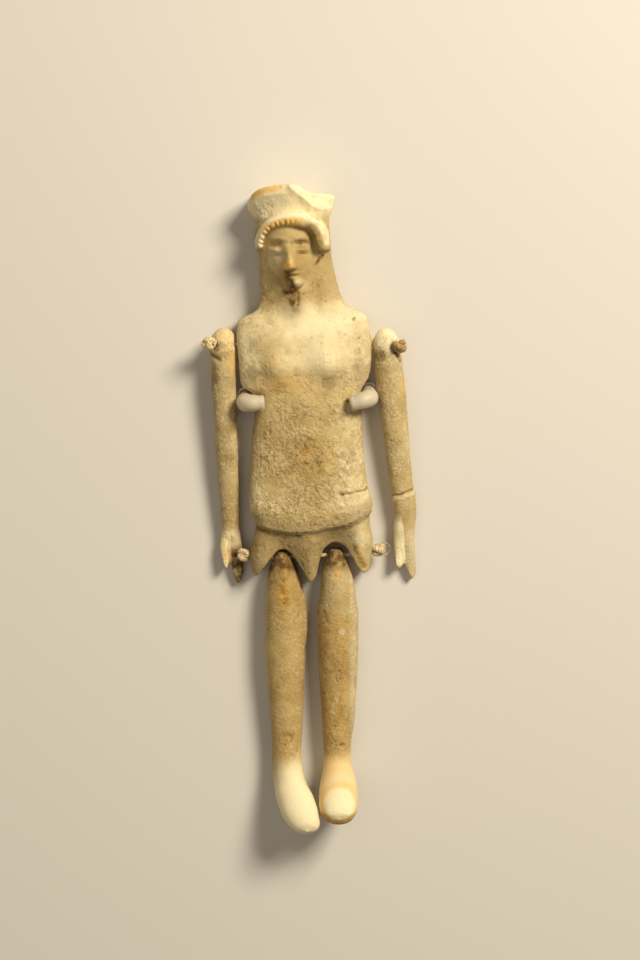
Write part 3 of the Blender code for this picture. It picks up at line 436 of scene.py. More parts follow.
def fired_clay():
    """Buff earthenware, moulded, unglazed and long buried: matt, with a pale lime and sand crust over it,
    orange clay where handling has rubbed it bare, and dark soil in the hollows. The pale crust and rubbed
    layers also carry painted light, and the dark soil layer carries painted shade, where the pieces' marks put
    it."""
    finish, tree, shader = new_finish("buff earthenware with burial crust")
    place = add(tree, "ShaderNodeTexCoord").outputs["Object"]
    broad, cloudy, sandy = (
        add(tree, "ShaderNodeTexNoise", Vector=place, Scale=1 / (size * MM), Detail=detail, Roughness=rough)
        .outputs["Fac"]
        for size, detail, rough in ((BROAD_TONE, 3.0, 0.5), (CLOUD, 4.0, 0.6), (SAND, 3.0, 0.65))
    )  # fmt: skip
    crust, worn, bare, soil, grit = (
        add(tree, "ShaderNodeAttribute", {"attribute_name": name}).outputs["Fac"]
        for name in ("crust", "worn", "bare", "soil", "grit")
    )
    tone = colour("#b39960")
    # Layers: where each lies, its pattern, where that starts and is full, how much it covers, its colour
    for mark, pattern, start, full, most, tint in (
        (1.0, broad, 0.36, 0.66, 1.0, "#c4aa72"),
        (crust, cloudy, 0.15, 0.7, 1.0, "#e2d2a4"),
        (worn, cloudy, 0.1, 0.4, 1.0, "#f3e5ba"),
        (bare, cloudy, 0.1, 0.45, 1.0, "#ecb857"),
        (soil, cloudy, 0.15, 0.6, 1.0, "#66491f"),
        (grit, sandy, 0.44, 0.3, 0.9, "#846a38"),
    ):
        limits = {"Value": pattern, "From_Min": start, "From_Max": full, "To_Max": most}
        spread = add(tree, "ShaderNodeMapRange", {"interpolation_type": "SMOOTHSTEP"}, **limits)
        factors = {"i0": mark, "i1": spread.outputs["Result"]}
        share = add(tree, "ShaderNodeMath", {"operation": "MULTIPLY"}, **factors).outputs[0]
        tone = add(tree, "ShaderNodeMix", {"data_type": "RGBA"}, i0=share, i6=tone, i7=colour(tint)).outputs[2]
    tree.links.new(tone, shader.inputs["Base Color"])
    shader.inputs["Roughness"].default_value = 0.92
    shader.inputs["Specular IOR Level"].default_value = 0.3
    crumbs = add(tree, "ShaderNodeTexVoronoi", Vector=place, Scale=1 / (CRUMB * MM), Randomness=1.0)
    crumbs, scale_and_add = crumbs.outputs["Distance"], {"operation": "MULTIPLY_ADD"}
    uneven = add(tree, "ShaderNodeMath", scale_and_add, i0=crumbs, i1=-0.7, i2=sandy)
    rough = add(tree, "ShaderNodeMath", scale_and_add, i0=grit, i1=0.85, i2=0.12)
    height = {"Strength": rough.outputs[0], "Height": uneven.outputs[0], "Distance": 0.28 * MM}
    relief = add(tree, "ShaderNodeBump", **height)
    tree.links.new(relief.outputs["Normal"], shader.inputs["Normal"])
    return finish


clay = fired_clay()


def clay_piece(name, node, rings, relief, marks, to_frame):
    """Raises each point of the rings by relief along its normal, fading to none at the end rows, moves it to
    the frame and keeps it off the floor. Marks are held between 0 and 1."""
    row = np.arange(len(relief))[:, None]
    relief = relief * ramp(np.minimum(row, len(relief) - 1 - row), 0, 2 * END_ROWS)
    raised = rings + outward_normals(rings) * relief[..., None]
    placed = in_metres(raised @ to_frame[:3, :3].T + to_frame[:3, 3])
    placed[..., 2] = np.maximum(placed[..., 2], 0.0)
    marks = {mark: np.clip(values, 0, 1) for mark, values in marks.items()}
    return place_piece(name, surface_mesh(name, placed, marks), clay, node)


# The body's rows: from, to, how many. They are closest over the lugs and the head.
rows = ((68.2, 86, 84), (86, 112, 104), (112, 117, 26), (117, 131, 60))
body_heights = [np.linspace(*row, endpoint=False) for row in rows] + [np.linspace(131, 161, 208)]
BODY_COLUMNS, BACK_COARSER = 152, 4
rings = body_rings(np.concatenate(body_heights), BODY_COLUMNS, BACK_COARSER)
px, py, pz = np.moveaxis(rings, -1, 0)
facing = outward_normals(rings)[..., 2]
front = ramp(facing, -0.1, 0.35)

# Zones of the body, each 0 to 1
along, off, _ = fringe_places(px, py)
on_fringe = ramp(np.abs(off), 1.15, 0.9) * ramp(pz, 8.5, 11.0)
on_fringe = on_fringe * ramp(np.abs(along), FRINGE_END + 1.5, FRINGE_END)
on_head = band(py, 135.0, 138.5, 153.0, 155.5)
belly = bump(px + 0.5, 12.0) * band(py, 76.0, 82.0, 106.0, 115.0)
left, right = (curve(FACE_OUTLINE, py, k) for k in (1, 2))
face_zone = ramp(np.abs(2 * px - left - right) / (right - left), 1.15, 0.9)
face_zone = face_zone * band(py, 137.2, 138.6, 153.5, 155.5)
from_break = py - curve(CAP_BREAK, px) + 0.3 * drift(rings, 1.4, 15)
fracture = ramp(from_break, -0.2, 0.3) * ramp(px, -3.4, -2.2) * front
# The cap's front gets pale crust, and also painted light in wear and crust that lifts the shade of its flare
cap_front = ramp(py + 0.8 * drift(rings, 3.0, 14), 155.2, 158.6)
from_rim = py - curve(CAP_EDGE, px) + 1.8 - 0.5 * drift(rings, 2.2, 81)
on_rim = ramp(from_rim, -0.7, 0.7) * ramp(px, -12.8, -11.0) * ramp(px, -2.0, -6.5)
below_hem = curve(HEM_EDGE, px) - py
facet = bump(off_line(px, py, (10.9, 73.0), (12.9, 68.4)) + 0.2 * drift(rings, 1.2, 89), 0.85) * front
sunlit = band(py, 124.0, 130.0, 133.5, 137.0) + 0.5 * bump(py - 122.0, 4.0)
# A painted pool of light on the chest's right, laid in as pale wear
chest_painted_light = bump(px - 3.5, 9.5) * ramp(py - 0.25 * np.abs(px), 116.0, 121.0) * ramp(py, 134.0, 130.0)

# Relief in millimetres: grit, slow unevenness, the worn end of the fringe, the broken cap, a crack and pits
gritty = 0.28 + 0.6 * belly - 0.1 * cap_front + 0.25 * drift(rings, 6.0, 11) + 0.3 * drift(rings, 2.4, 12)
gritty = np.clip(gritty, 0.1, 1.0) * (1 - 0.7 * face_zone) * (1 - 0.6 * on_fringe)
gritty = gritty * (1 - 0.5 * band(py, 125, 131, 134, 140))
fine, coarse = grains(rings, 0.55, 21, 0.7), grains(rings, 0.95, 31, 0.32)
wander = 0.45 * drift(rings, 1.5, 61)
crack = bump(off_line(px, py + wander, (8.2, 86.6), (15.2, 88.0)), 0.26) * front
pit = oval(rings, 7.8, 87.1, 0.65, 0.65) * front
pitted = pinholes(rings, 23) * (1 - 0.6 * face_zone) * (1 - 0.6 * on_fringe) * (1 - fracture)
pitted = pitted * ramp(facing, 0.1, 0.5)
relief = (
    gritty * (0.16 * fine + 0.3 * coarse)
    + 0.1 * belly * drift(rings, 1.3, 42)
    + 0.06 * drift(rings, 1.6, 41)
    + 0.16 * drift(rings, 5.5, 51) * (1 - face_zone)
    + (0.28 * drift(rings, 2.6, 19) + 0.12 * drift(rings, 1.1, 20)) * on_fringe * ramp(along, -2.0, 3.0)
    + (0.3 * drift(rings, 2.1, 16) + 0.1 * drift(rings, 0.9, 17)) * fracture
    - (0.45 * crack + 0.6 * pit + 0.1 * pitted)
)

# Soil in the hollows, holes and grooves and in spots over the front. Painted shade is laid into the same dark
# mark under the chin, under and above the hem, over the lugs below the hem, in the ear crease, under the right
# end of the fringe and at some of the spots
# Spots: strength, place, half width, half height. Those at (-6.5, 150.3) and (-0.2, 150.5) are painted shade
# under the brows, those at (5.7, 115.0), (-6.4, 113.9) and (-6.4, 115.0) painted shade under the breasts, and
# the one at (-8.8, 134.5) painted shade on the hair left of the neck
SOIL_AND_SHADE_SPOTS = (
    (0.7, 12.8, 130.9, 0.45, 0.5), (0.6, 13.9, 126.1, 0.5, 0.4), (0.3, 5.7, 115.0, 2.0, 1.4),
    (0.2, -6.4, 113.9, 2.0, 1.2), (0.4, -13.6, 117.9, 2.6, 2.2), (0.9, 10.2, 110.5, 0.5, 0.6),
    (0.25, -12.9, 125.2, 1.8, 2.2), (0.3, 13.9, 119.6, 2.2, 4.0), (0.28, -0.6, 95.5, 5.0, 5.5),
    (0.12, 1.0, 88.0, 6.0, 3.0), (0.15, -7.5, 103.0, 4.0, 4.0), (0.3, -8.8, 134.5, 1.6, 4.5),
    (0.2, -6.5, 150.3, 2.0, 0.6), (0.6, -0.2, 150.5, 2.2, 0.6), (0.3, -6.4, 115.0, 1.8, 0.7),
    (0.35, -0.8, 98.0, 1.2, 1.2),
)  # fmt: skip
hollow = ramp(np.maximum(fine, coarse) + 0.4 * drift(rings, 0.8, 18), 0.1, -0.25) * gritty
hole_rim = sum(bump(np.hypot(py - y, pz - z), 1.25) for y, z in (SHOULDER_HOLE, HIP_HOLE))
hole_rim = hole_rim * ramp(facing, 0.75, 0.3)
curl_groove = (1 - curls(along)) * ramp(off, 0.05, -0.5) * ramp(along, 3.0, -1.0)
in_smear = bump(off_smear(px, py) - 0.1, 0.95) * band(py, 136.4, 138.4, 143.2, 144.2)
# Strength of a painted shadow line under the hem, darkest towards its two ends
hem_shadow = 0.2 + 0.4 * ramp(np.abs(px), 6.0, 12.0) + 0.15 * drift(rings, 2.0, 73)
soil_and_shade_on_front = (
    0.935 * in_smear
    # Soil and painted shade under the chin: the next two ovals
    + 0.6 * oval(rings, -3.2, 138.2, 1.7, 0.55)
    + (1.6 + 0.5 * drift(rings, 1.2, 76)) * oval(rings, -2.0, 136.1, 1.5, 2.5)
    # Painted shadow under the hem's edge
    + hem_shadow * bump(below_hem - 0.6, 0.5)
    # Painted shade on the hem's rounding, darker towards its lower edge, and over the lugs below the hem (this
    # and the next term)
    + 0.3 * bump(below_hem + 2.0, 1.8)
    + 0.42 * ramp(below_hem, -1.6, 0.6) * ramp(px, 13.0, 9.5)
    + sum(spot[0] * patch(rings, *spot[1:], 700 + k, 0.6) for k, spot in enumerate(SOIL_AND_SHADE_SPOTS))
)
soil_and_shade_in_hair = (
    # Painted shade on the underside of the fringe's right end
    0.55 * ramp(off, 0.4, -0.3) * ramp(along, 4.0, 6.5)
    + 0.3 * ramp(drift(rings, 1.6, 74), 0.1, 0.6) * ramp(along, 0.0, 3.0)
    + (0.5 + 0.3 * drift(rings, 2.0, 72)) * curl_groove
)
soil = (
    0.45 * hollow + 0.3 * pitted + 0.8 * crack + 0.75 * pit + 0.9 * hole_rim + 0.65 * facet
    # Painted shade in the crease below the fringe's right end
    + 0.85 * ear_crease(px, py, 0.4)
    + 0.14 * on_head * (1 - on_fringe)
    + 0.1 * ramp(px, 2.0, 4.5) * band(py, 130, 134, 146, 150)
    + 0.2 * ramp(drift(rings, 2.2, 71), 0.35, 0.9)
    + soil_and_shade_on_front * front
    + soil_and_shade_in_hair * on_fringe
)  # fmt: skip

# Bare orange clay. Spots: strength, place, half width, half height, seed, raggedness
BARE_SPOTS = (
    (0.8, -3.7, 144.5, 0.9, 1.2, 82, 0.45), (0.5, -2.8, 145.6, 1.1, 1.4, 88, 0.45),
    (0.35, -8.4, 121.3, 1.5, 1.2, 83, 0.9), (0.35, -6.6, 115.2, 1.7, 1.0, 84, 0.9),
    (0.3, -0.9, 98.1, 1.6, 1.6, 85, 0.9), (0.25, -6.2, 150.2, 1.5, 0.6, 87, 0.45),
    (0.15, 0.0, 96.0, 5.0, 6.0, 80, 0.45),
)  # fmt: skip
cheek_light = oval(rings, -7.0, 147.0, 2.2, 4.5)
bare = front * (
    (0.8 + 0.3 * drift(rings, 2.5, 75)) * on_rim
    + 0.8 * ramp(off, 0.35, -0.2) * on_fringe * band(along, -9.5, -6.5, 2.0, 4.0)
    + 0.6 * facet
    + 0.2 * cheek_light
    + 0.25 * band(py, 110.5, 113.5, 116.5, 119.0) * bump(px + 4.0, 7.0)
    + sum(spot[0] * patch(rings, *spot[1:]) for spot in BARE_SPOTS)
)

# Rubbed pale clay, and pale crust. Both also carry painted light: on the chest's right, the left cheek, the
# upper chest and shoulders, the left edge of the chest, and together with pale crust on the cap's front
wear_and_light_on_front = (
    0.5 * oval(rings, 11.8, 74.4, 2.2, 4.0)
    # Painted light over the upper chest and shoulders
    + 0.45 * sunlit * ramp(px, -14.0, 4.0)
    + 0.7 * oval(rings, -0.8, 140.5, 1.3, 0.9)
    + 0.3 * oval(rings, -2.6, 146.0, 0.9, 1.26)
)
worn = (
    0.5 * fracture + 0.4 * chest_painted_light + 0.6 * on_rim + 0.7 * cheek_light
    # Pale wear and painted light on the cap's front
    + (0.6 + 0.3 * ramp(px, -2.0, -8.0)) * cap_front
    + 0.8 * on_fringe * (ramp(off, -0.3, 0.3) + ramp(off, 0.1, -0.3) * ramp(along, 4.5, 2.5))
    # Painted light on the chest's left edge, which faces away from the key light
    + 0.35 * ramp(px, -13.0, -15.0) * band(py, 113.0, 117.0, 126.0, 131.0) * ramp(pz, 4.5, 6.5)
    + wear_and_light_on_front * front
)  # fmt: skip
crust = (
    0.32 + 0.32 * np.maximum(fine, coarse) * gritty + 0.3 * drift(rings, 4.0, 91) + 0.3 * ramp(px, 2.0, 12.0)
    # Painted light on the cap's front, together with its paler crust, and on the sunlit upper chest
    + 0.45 * cap_front + 0.35 * sunlit + 0.3 * bump(px + 14.2, 1.6) * belly - 0.3 * on_head
    + 0.75 * ramp(px, -10.5, -13.5) * band(py, 112.0, 117.0, 126.0, 131.0)
    + 0.5 * band(py, 82.0, 84.0, 87.0, 93.0)
)  # fmt: skip
under_hem = ramp(below_hem, 0.0, 1.0)
# Less pale crust over the belly's middle, and less below the hem as painted shade there
crust = crust * (1 - 0.6 * belly * ramp(px, 9.0, 5.0)) * (1 - 0.35 * under_hem)
grit = 1.1 * (gritty + 0.15 * under_hem) * (1 - 0.6 * fracture) * (1 - 0.45 * cap_front)
marks = {"crust": crust, "bare": bare, "soil": soil, "worn": worn, "grit": grit}
clay_piece("clay_body", "moulded_body", rings, relief, marks, np.eye(4))

# The pins' places come first, because each arm hangs clear of the padded pin beside it. Each pin comes up
# beside the waist and bends over its edge. All sizes are in millimetres.
PIN_HEIGHT, PIN_WIRE, PIN_FOOT_WIDE, PIN_FOOT_THICK = 110.8, 1.6, 4.4, 0.8
SLEEVE_WALL, PIN_REACH, PIN_LEAN, ELBOW_RADIUS = 0.8, 2.9, 1.5, 2.5
PIN_TIP_DROP = {-1: 0.0, 1: 1.1}
SLEEVE_BORE = PIN_WIRE + 2 * TOUCH_GAP
SLEEVE_WIDE = SLEEVE_BORE + 2 * SLEEVE_WALL


def body_edge(y, outward):
    """How far the torso's edge stands from the middle line on the side that outward names."""
    return abs(float(curve(BODY_OUTLINE, y, 1 if outward < 0 else 2)))


def front_over(x, y):
    """Height of the torso's front over a place."""
    left, right = -body_edge(y, -1), body_edge(y, 1)
    u = np.clip((2 * x - left - right) / (right - left), -1, 1)
    return float(body_front(np.float64(x), np.float64(y), np.float64(y), np.sqrt(1 - u * u)))


def pin_route(outward):
    """The pin's middle line: up from its foot, a quarter circle of ELBOW_RADIUS, then over the waist's edge."""
    edge = body_edge(PIN_HEIGHT, outward)
    shank, tip = edge + TOUCH_GAP + SLEEVE_WIDE / 2, edge - PIN_REACH
    over = front_over(outward * tip, PIN_HEIGHT) + TOUCH_GAP + SLEEVE_WIDE / 2
    turn = np.linspace(0, math.pi / 2, 17)
    x = np.concatenate([[shank] * 6, shank - ELBOW_RADIUS * (1 - np.cos(turn)), [tip]])
    rise = np.linspace(PIN_FOOT_THICK, over - ELBOW_RADIUS, 7)[:-1]
    z = np.concatenate([rise, over - ELBOW_RADIUS * (1 - np.sin(turn)), [over]])
    lean = PIN_LEAN * (over - z) / (over - PIN_FOOT_THICK) - PIN_TIP_DROP[outward] * (shank - x) / (shank - tip)
    return np.stack([outward * x, PIN_HEIGHT + lean, z], axis=1), shank


# The arms: two flat tapering rods of the same clay, rolled and pressed by hand, each with a hole across the
# shoulder for the string and a hand split into thumb and fingers. The doll's left arm broke above the wrist
# and has been glued.
RIGHT_ARM = {
    "outline": np.array([
        (-61.2, -0.4, 2.0), (-57.0, -2.6, 2.3), (-52.0, -3.3, 2.5), (-46.5, -2.6, 2.0), (-41.0, -2.7, 2.2),
        (-31.5, -3.0, 2.4), (-20.0, -3.1, 2.6), (-10.0, -3.3, 3.0), (-3.0, -3.2, 3.2), (0.5, -3.1, 2.9),
    ]),  # fmt: skip
    "ends": np.array([(-1.0, -56.3), (-0.75, -57.0), (-0.45, -55.6), (-0.2, -57.5), (0.4, -61.2), (1.0, -58.6)]),
    "top": 4.4, "top_middle": 0.5, "thumb_split": -0.38, "hole": (0.3, 0.3), "lean": 0.4,
}  # fmt: skip
LEFT_ARM = {
    "outline": np.array([
        (-59.8, -2.4, 2.2), (-55.0, -2.5, 2.4), (-51.0, -2.5, 2.6), (-46.5, -2.1, 3.1), (-42.5, -1.6, 3.7),
        (-37.8, -1.8, 3.9), (-34.3, -2.1, 3.5), (-26.5, -2.5, 3.6), (-16.0, -3.0, 3.8), (-8.9, -3.5, 3.8),
        (-3.5, -3.3, 3.5), (0.5, -3.2, 3.0),
    ]),  # fmt: skip
    "ends": np.array([(-1.0, -56.0), (-0.7, -56.4), (-0.2, -55.6), (0.1, -57.4), (0.6, -59.9), (1.0, -58.8)]),
    "top": 4.9, "top_middle": 0.0, "thumb_split": -0.12, "hole": (1.4, 0.2), "lean": 3.1,
}  # fmt: skip
ARM_DEPTH = np.array([
    (-61.2, 1.5), (-57.0, 2.0), (-50.0, 2.2), (-44.0, 2.4), (-30.0, 2.8), (-8.0, 3.2), (0.5, 3.1),
])  # fmt: skip
# Where the hand starts and ends, how far the thumb stands up and tilts, and how the arm hangs
HAND_TOP, HAND_FOOT, THUMB_RISE, THUMB_TILT = -49.0, -57.5, 0.9, 1.0
HAND_DOWN, HAND_HEIGHT = 55.0, 2.3
OUTER_MOUTH, INNER_MOUTH = (2.1, 2.4), -3.5
BREAK_HEIGHT, BREAK_SLOPE = -37.4, 0.22
ARM_ROWS, ARM_COLUMNS = 300, 54


def arm_rings(arm, rows, columns):
    """Arm rings: x = middle + half width * u, z = side +- half depth * (1 - u^2)^0.45, with a domed top.
    The power falls to 0.2 at the hand, which is flatter."""
    dome_foot = 0.5
    turn = np.linspace(0, math.pi / 2, 26)[1:]
    rounding = dome_foot + (arm["top"] - dome_foot) * np.sin(turn)
    height = np.concatenate([np.linspace(HAND_FOOT, dome_foot, rows), rounding])[:, None]
    narrow = np.concatenate([np.ones(rows), np.cos(turn)])[:, None]
    t = np.linspace(-1, 1, columns + 1)
    u = ((t + np.sin(t * math.pi / 2)) / 2)[None, :]
    inward = np.sqrt(np.maximum(1 - u * u, 0))
    left, right = (curve(arm["outline"], height, k) for k in (1, 2))
    middle = (left + right) / 2 + (arm["top_middle"] - (left + right) / 2) * ramp(height, dome_foot, arm["top"])
    x = middle + (right - left) / 2 * u * narrow
    in_hand = np.clip((HAND_TOP - height) / (HAND_TOP - HAND_FOOT), 0, 1)
    y = height + (curve(arm["ends"], u) + EDGE_ROUND - HAND_FOOT) * in_hand**1.5
    thumb = ramp(u, arm["thumb_split"] + 0.12, arm["thumb_split"] - 0.12)
    side = (THUMB_RISE * (2 * thumb - 0.8) - THUMB_TILT * thumb * (u + 0.55)) * in_hand
    half = curve(ARM_DEPTH, height) * narrow * (1 - 0.25 * in_hand)
    bulge = half * inward ** (0.9 - 0.5 * in_hand)
    return around(close_ends(x, y, side + bulge, side - bulge, side), 1)


def turned(about, degrees):
    """A 4 x 4 turn about x or z."""
    return np.array(Matrix.Rotation(math.radians(degrees), 4, about))


def arm_frame(arm, outward, shank):
    """Where an arm hangs: its hole beside the shoulder's, TOUCH_GAP clear of body and sleeve."""
    hole = SHOULDER_HOLE[0] if outward < 0 else SHOULDER_HOLE[0] - 1.0
    origin_y = hole - arm["hole"][0]

    def inner_edge(y):
        """Half width of the arm on the body's side."""
        return abs(float(curve(arm["outline"], y - origin_y, 2 if outward < 0 else 1)))

    leaning = outward * math.sin(math.radians(arm["lean"])) * (hole - PIN_HEIGHT)
    at_pin = shank + SLEEVE_WIDE / 2 + inner_edge(PIN_HEIGHT) - leaning
    at_shoulder = body_edge(hole, outward) + inner_edge(hole)
    drop = math.degrees(math.asin((SHOULDER_HOLE[1] - HAND_HEIGHT) / HAND_DOWN))
    moved = np.eye(4)
    moved[:3, 3] = outward * (max(at_pin, at_shoulder) + TOUCH_GAP), origin_y, SHOULDER_HOLE[1]
    return moved @ turned("Z", arm["lean"]) @ turned("X", drop)


shoulder_ends = {}
for name, node, arm, outward, seed in (
    ("clay_right_arm", "right_arm", RIGHT_ARM, -1, 200),
    ("clay_left_arm", "left_arm", LEFT_ARM, 1, 300),
):
    to_frame = arm_frame(arm, outward, pin_route(outward)[1])
    rings = arm_rings(arm, ARM_ROWS, ARM_COLUMNS)
    px, py, pz = np.moveaxis(rings, -1, 0)
    front = ramp(outward_normals(rings)[..., 2], -0.1, 0.35)
    fine = grains(rings, 0.6, seed, 0.6)
    gritty = np.clip(0.4 + 0.35 * drift(rings, 5.0, seed + 10), 0.1, 1)
    pitted = pinholes(rings, seed + 46)
    slant = arm["thumb_split"] * 2.6
    off_split = off_line(px, py, (slant - 0.5, -51.5), (slant + 0.1, -57.5))
    split = bump(off_split + 0.15 * drift(rings, 1.2, seed + 45), 0.28) * front
    mouth = np.array([outward * OUTER_MOUTH[0], arm["hole"][1], OUTER_MOUTH[1]])
    at_mouths = bump(np.linalg.norm(rings - mouth, axis=-1), 1.3)
    at_mouths = at_mouths + bump(np.hypot(py - arm["hole"][1], pz), 1.15) * ramp(-outward * px, 1.5, 2.6)
    relief = (
        0.1 * gritty * fine + 0.08 * drift(rings, 1.8, seed + 20) + 0.12 * drift(rings, 5.0, seed + 30)
        - 0.35 * split * ramp(py, -50.5, -54.0) - 0.08 * pitted - 0.5 * at_mouths
    )  # fmt: skip
    soil = (
        0.4 * ramp(fine, 0.3, 0.0) * gritty + 0.25 * ramp(drift(rings, 2.6, seed + 40), 0.2, 0.8)
        + 0.4 * split + 0.3 * pitted * front + 0.8 * at_mouths
    )  # fmt: skip
    if outward > 0:
        # The glued break with its lip, the rubbed thumb and shoulder, and a groove below the knot
        thumb = ramp(py, -42.0, -46.0) * ramp(px, 0.4, -0.2) * front
        from_break = py - BREAK_HEIGHT - BREAK_SLOPE * px - 0.25 * drift(rings, 1.3, seed + 50)
        joint, lip = bump(from_break, 0.2), bump(from_break + 1.0, 0.65)
        from_shoulder = py + 1.5 + 0.8 * (px + 0.5) * ramp(px, -3.0, 1.0)
        groove = bump(off_line(px, py, (2.1, -1.2), (3.1, -3.6)), 0.35) * front
        relief = relief - 0.5 * joint + 0.2 * lip + 0.14 * ramp(from_break, 0.0, -0.3)
        relief = relief + 0.22 * ramp(from_shoulder, -0.8, 0.9) - 0.45 * groove
        soil = (
            soil * (1 - 0.7 * thumb) + 0.85 * groove
            + (0.6 + 0.4 * drift(rings, 1.5, seed + 51)) * bump(from_break, 0.22)
            + 0.55 * patch(rings, -1.9, -1.2, 1.7, 1.9, seed + 61) * front
        )  # fmt: skip
        worn = (
            0.3 * ramp(py, -44.0, -50.0) * front + 1.2 * thumb + 0.5 * bump(from_break + 1.0, 0.7)
            + ramp(py, -1.8, 1.4) + 0.25 * ramp(px, -1.5, 2.5) * ramp(py, -14.0, -6.0)
        )  # fmt: skip
        bare = 0.4 * patch(rings, 3.2, -9.8, 0.7, 2.2, seed + 60)
    else:
        # The rubbed thumb and shoulder, a groove below the knot, and dark soil with painted shade on the fingers
        thumb = ramp(py, -46.0, -49.0) * ramp(px, -0.2, -0.7)
        shoulder = ramp(py, -1.8, -0.2)
        groove = bump(off_line(px, py, (-3.2, -1.6), (-0.9, -3.2)), 0.5) * front
        relief = relief + 0.25 * ramp(py + 1.3 + 0.9 * bump(px + 0.5, 1.5), -0.8, 0.7) - 0.3 * groove
        soil = (
            soil * (1 - 0.6 * thumb) + 0.75 * groove
            + 0.2 * bump(off_line(px, py, (-2.1, -5.0), (-2.1, -8.8)), 0.6) * front
            + 0.15 * band(py, -46.0, -41.0, -30.0, -24.0) + 0.2 * band(py, -12.0, -9.2, -8.0, -4.0)
            # Soil and painted shade on the fingers, which lie lower than the thumb
            + 0.95 * ramp(py, -50.3, -53.0) * ramp(px, -0.9, -0.3)
        )  # fmt: skip
        rubbed = 0.6 * patch(rings, -2.1, -9.9, 0.7, 0.6, seed + 71)
        worn = 0.9 * shoulder + (0.9 * thumb + 0.4 * ramp(py, -45.5, -48.0) + rubbed) * front
        bare = (
            0.25 * shoulder + 0.12 * ramp(py, -9.0, -7.0) * ramp(drift(rings, 3.5, seed + 90), -0.6, 0.4)
            + 0.3 * patch(rings, 2.5, -4.8, 0.7, 4.6, seed + 92)
            + (0.25 * thumb + 0.2 * patch(rings, -1.9, -53.0, 1.4, 1.8, seed + 80, 0.8)) * front
        )  # fmt: skip
    crust = 0.45 + 0.5 * fine * gritty + 0.3 * drift(rings, 3.0, seed + 95)
    marks = {"crust": crust, "bare": bare, "soil": soil, "worn": worn, "grit": gritty * 0.9 + 0.1}
    clay_piece(name, node, rings, relief, marks, to_frame)
    inner, outer = (
        (to_frame @ [outward * x, y, 0, 1])[:3] for x, y in zip((INNER_MOUTH, OUTER_MOUTH[0]), arm["hole"])
    )
    inner[2] = SHOULDER_HOLE[1]
    outer[2] = inner[2] + OUTER_MOUTH[1]
    away = np.array([outward * OUTER_MOUTH[0], 0, OUTER_MOUTH[1]])
    shoulder_ends[outward] = [outer + away / np.linalg.norm(away) * TOUCH_GAP, outer, inner]

# The legs: two solid tapering legs of the same clay, modelled by hand with the foot bent forward. The top is
# narrowed to fit between two lugs and has a hole across it for the hip string.

# Sections from the hip down: height, middle x, middle z, half width, half depth, forward tilt in degrees
RIGHT_LEG = np.array([
    (1.9, 0.0, 5.3, 0.0, 0.0, 0), (1.65, 0.0, 5.3, 1.4, 2.1, 0), (1.0, 0.0, 5.3, 2.1, 3.2, 0),
    (-0.3, 0.0, 5.3, 2.6, 3.8, 0), (-2.3, 0.0, 5.2, 3.4, 4.1, 0), (-4.5, 0.0, 5.1, 4.0, 4.4, 0),
    (-7.2, 0.2, 5.0, 4.5, 4.7, 0), (-11.5, 0.5, 5.1, 5.2, 5.0, 0), (-17.0, 0.5, 5.1, 5.4, 5.0, 0),
    (-25.5, 0.3, 5.0, 5.15, 4.8, 0), (-36.0, 0.3, 4.7, 4.55, 4.5, 0), (-44.0, 0.4, 4.4, 4.0, 4.2, 0),
    (-50.5, 0.2, 4.3, 3.7, 4.0, 4), (-55.5, 0.5, 4.8, 3.9, 4.6, 16), (-59.2, 1.2, 6.4, 4.3, 5.2, 36),
    (-62.4, 2.4, 9.2, 4.8, 4.7, 47), (-65.0, 3.5, 12.1, 4.8, 3.9, 52), (-67.0, 4.5, 14.7, 4.1, 3.0, 55),
    (-68.2, 5.0, 16.2, 2.8, 1.9, 56), (-68.8, 5.2, 17.0, 0.0, 0.0, 56),
])  # fmt: skip
LEFT_LEG = np.array([
    (1.9, 0.0, 5.3, 0.0, 0.0, 0), (1.65, 0.0, 5.3, 1.4, 2.1, 0), (1.0, 0.0, 5.3, 2.1, 3.2, 0),
    (-0.3, 0.0, 5.3, 2.6, 3.8, 0), (-2.0, 0.1, 5.2, 3.1, 4.1, 0), (-5.0, 0.3, 5.1, 3.8, 4.4, 0),
    (-8.0, 0.5, 5.0, 4.35, 4.7, 0), (-11.5, 0.6, 5.1, 4.8, 5.0, 0), (-15.5, 0.5, 5.1, 5.3, 5.0, 0),
    (-22.6, 0.5, 5.0, 5.15, 4.9, 0), (-30.0, 0.5, 4.8, 4.9, 4.6, 0), (-37.5, 0.5, 4.6, 4.45, 4.4, 0),
    (-44.0, 0.4, 4.4, 4.1, 4.2, 0), (-49.5, 0.3, 4.2, 3.5, 3.9, 2), (-54.0, 0.3, 4.4, 3.6, 4.2, 12),
    (-57.6, 0.4, 5.6, 4.3, 5.0, 30), (-60.8, 0.4, 8.0, 4.9, 5.2, 52), (-62.8, 0.4, 11.2, 5.0, 4.5, 62),
    (-64.1, 0.4, 14.2, 4.7, 3.7, 66), (-65.0, 0.4, 16.4, 3.9, 2.9, 68), (-65.6, 0.4, 17.8, 2.5, 1.8, 70),
    (-65.9, 0.4, 18.4, 0.0, 0.0, 70),
])  # fmt: skip
LEG_ROWS, LEG_SIDES = 410, 104


def leg_rings(sections, rows, sides):
    """Leg rings: ovals whose middle, half width, half depth and tilt follow smooth curves down the leg."""
    order = sections[::-1]
    reach = np.concatenate([[0], np.cumsum(np.linalg.norm(np.diff(order[:, :3], axis=0), axis=1) + 0.05)])
    along = smooth(np.linspace(0, 1, rows), np.linspace(0, 1, len(reach)), reach)
    y, x, z, wide, deep, tilt = (smooth(along, reach, order[:, k])[:, None] for k in range(6))
    tilt = np.radians(tilt)
    turn = np.linspace(0, 2 * math.pi, sides, endpoint=False)[None, :]
    up = deep * np.sin(turn)
    return np.stack([x + wide * np.cos(turn), y + up * np.sin(tilt), z + up * np.cos(tilt)], axis=2)


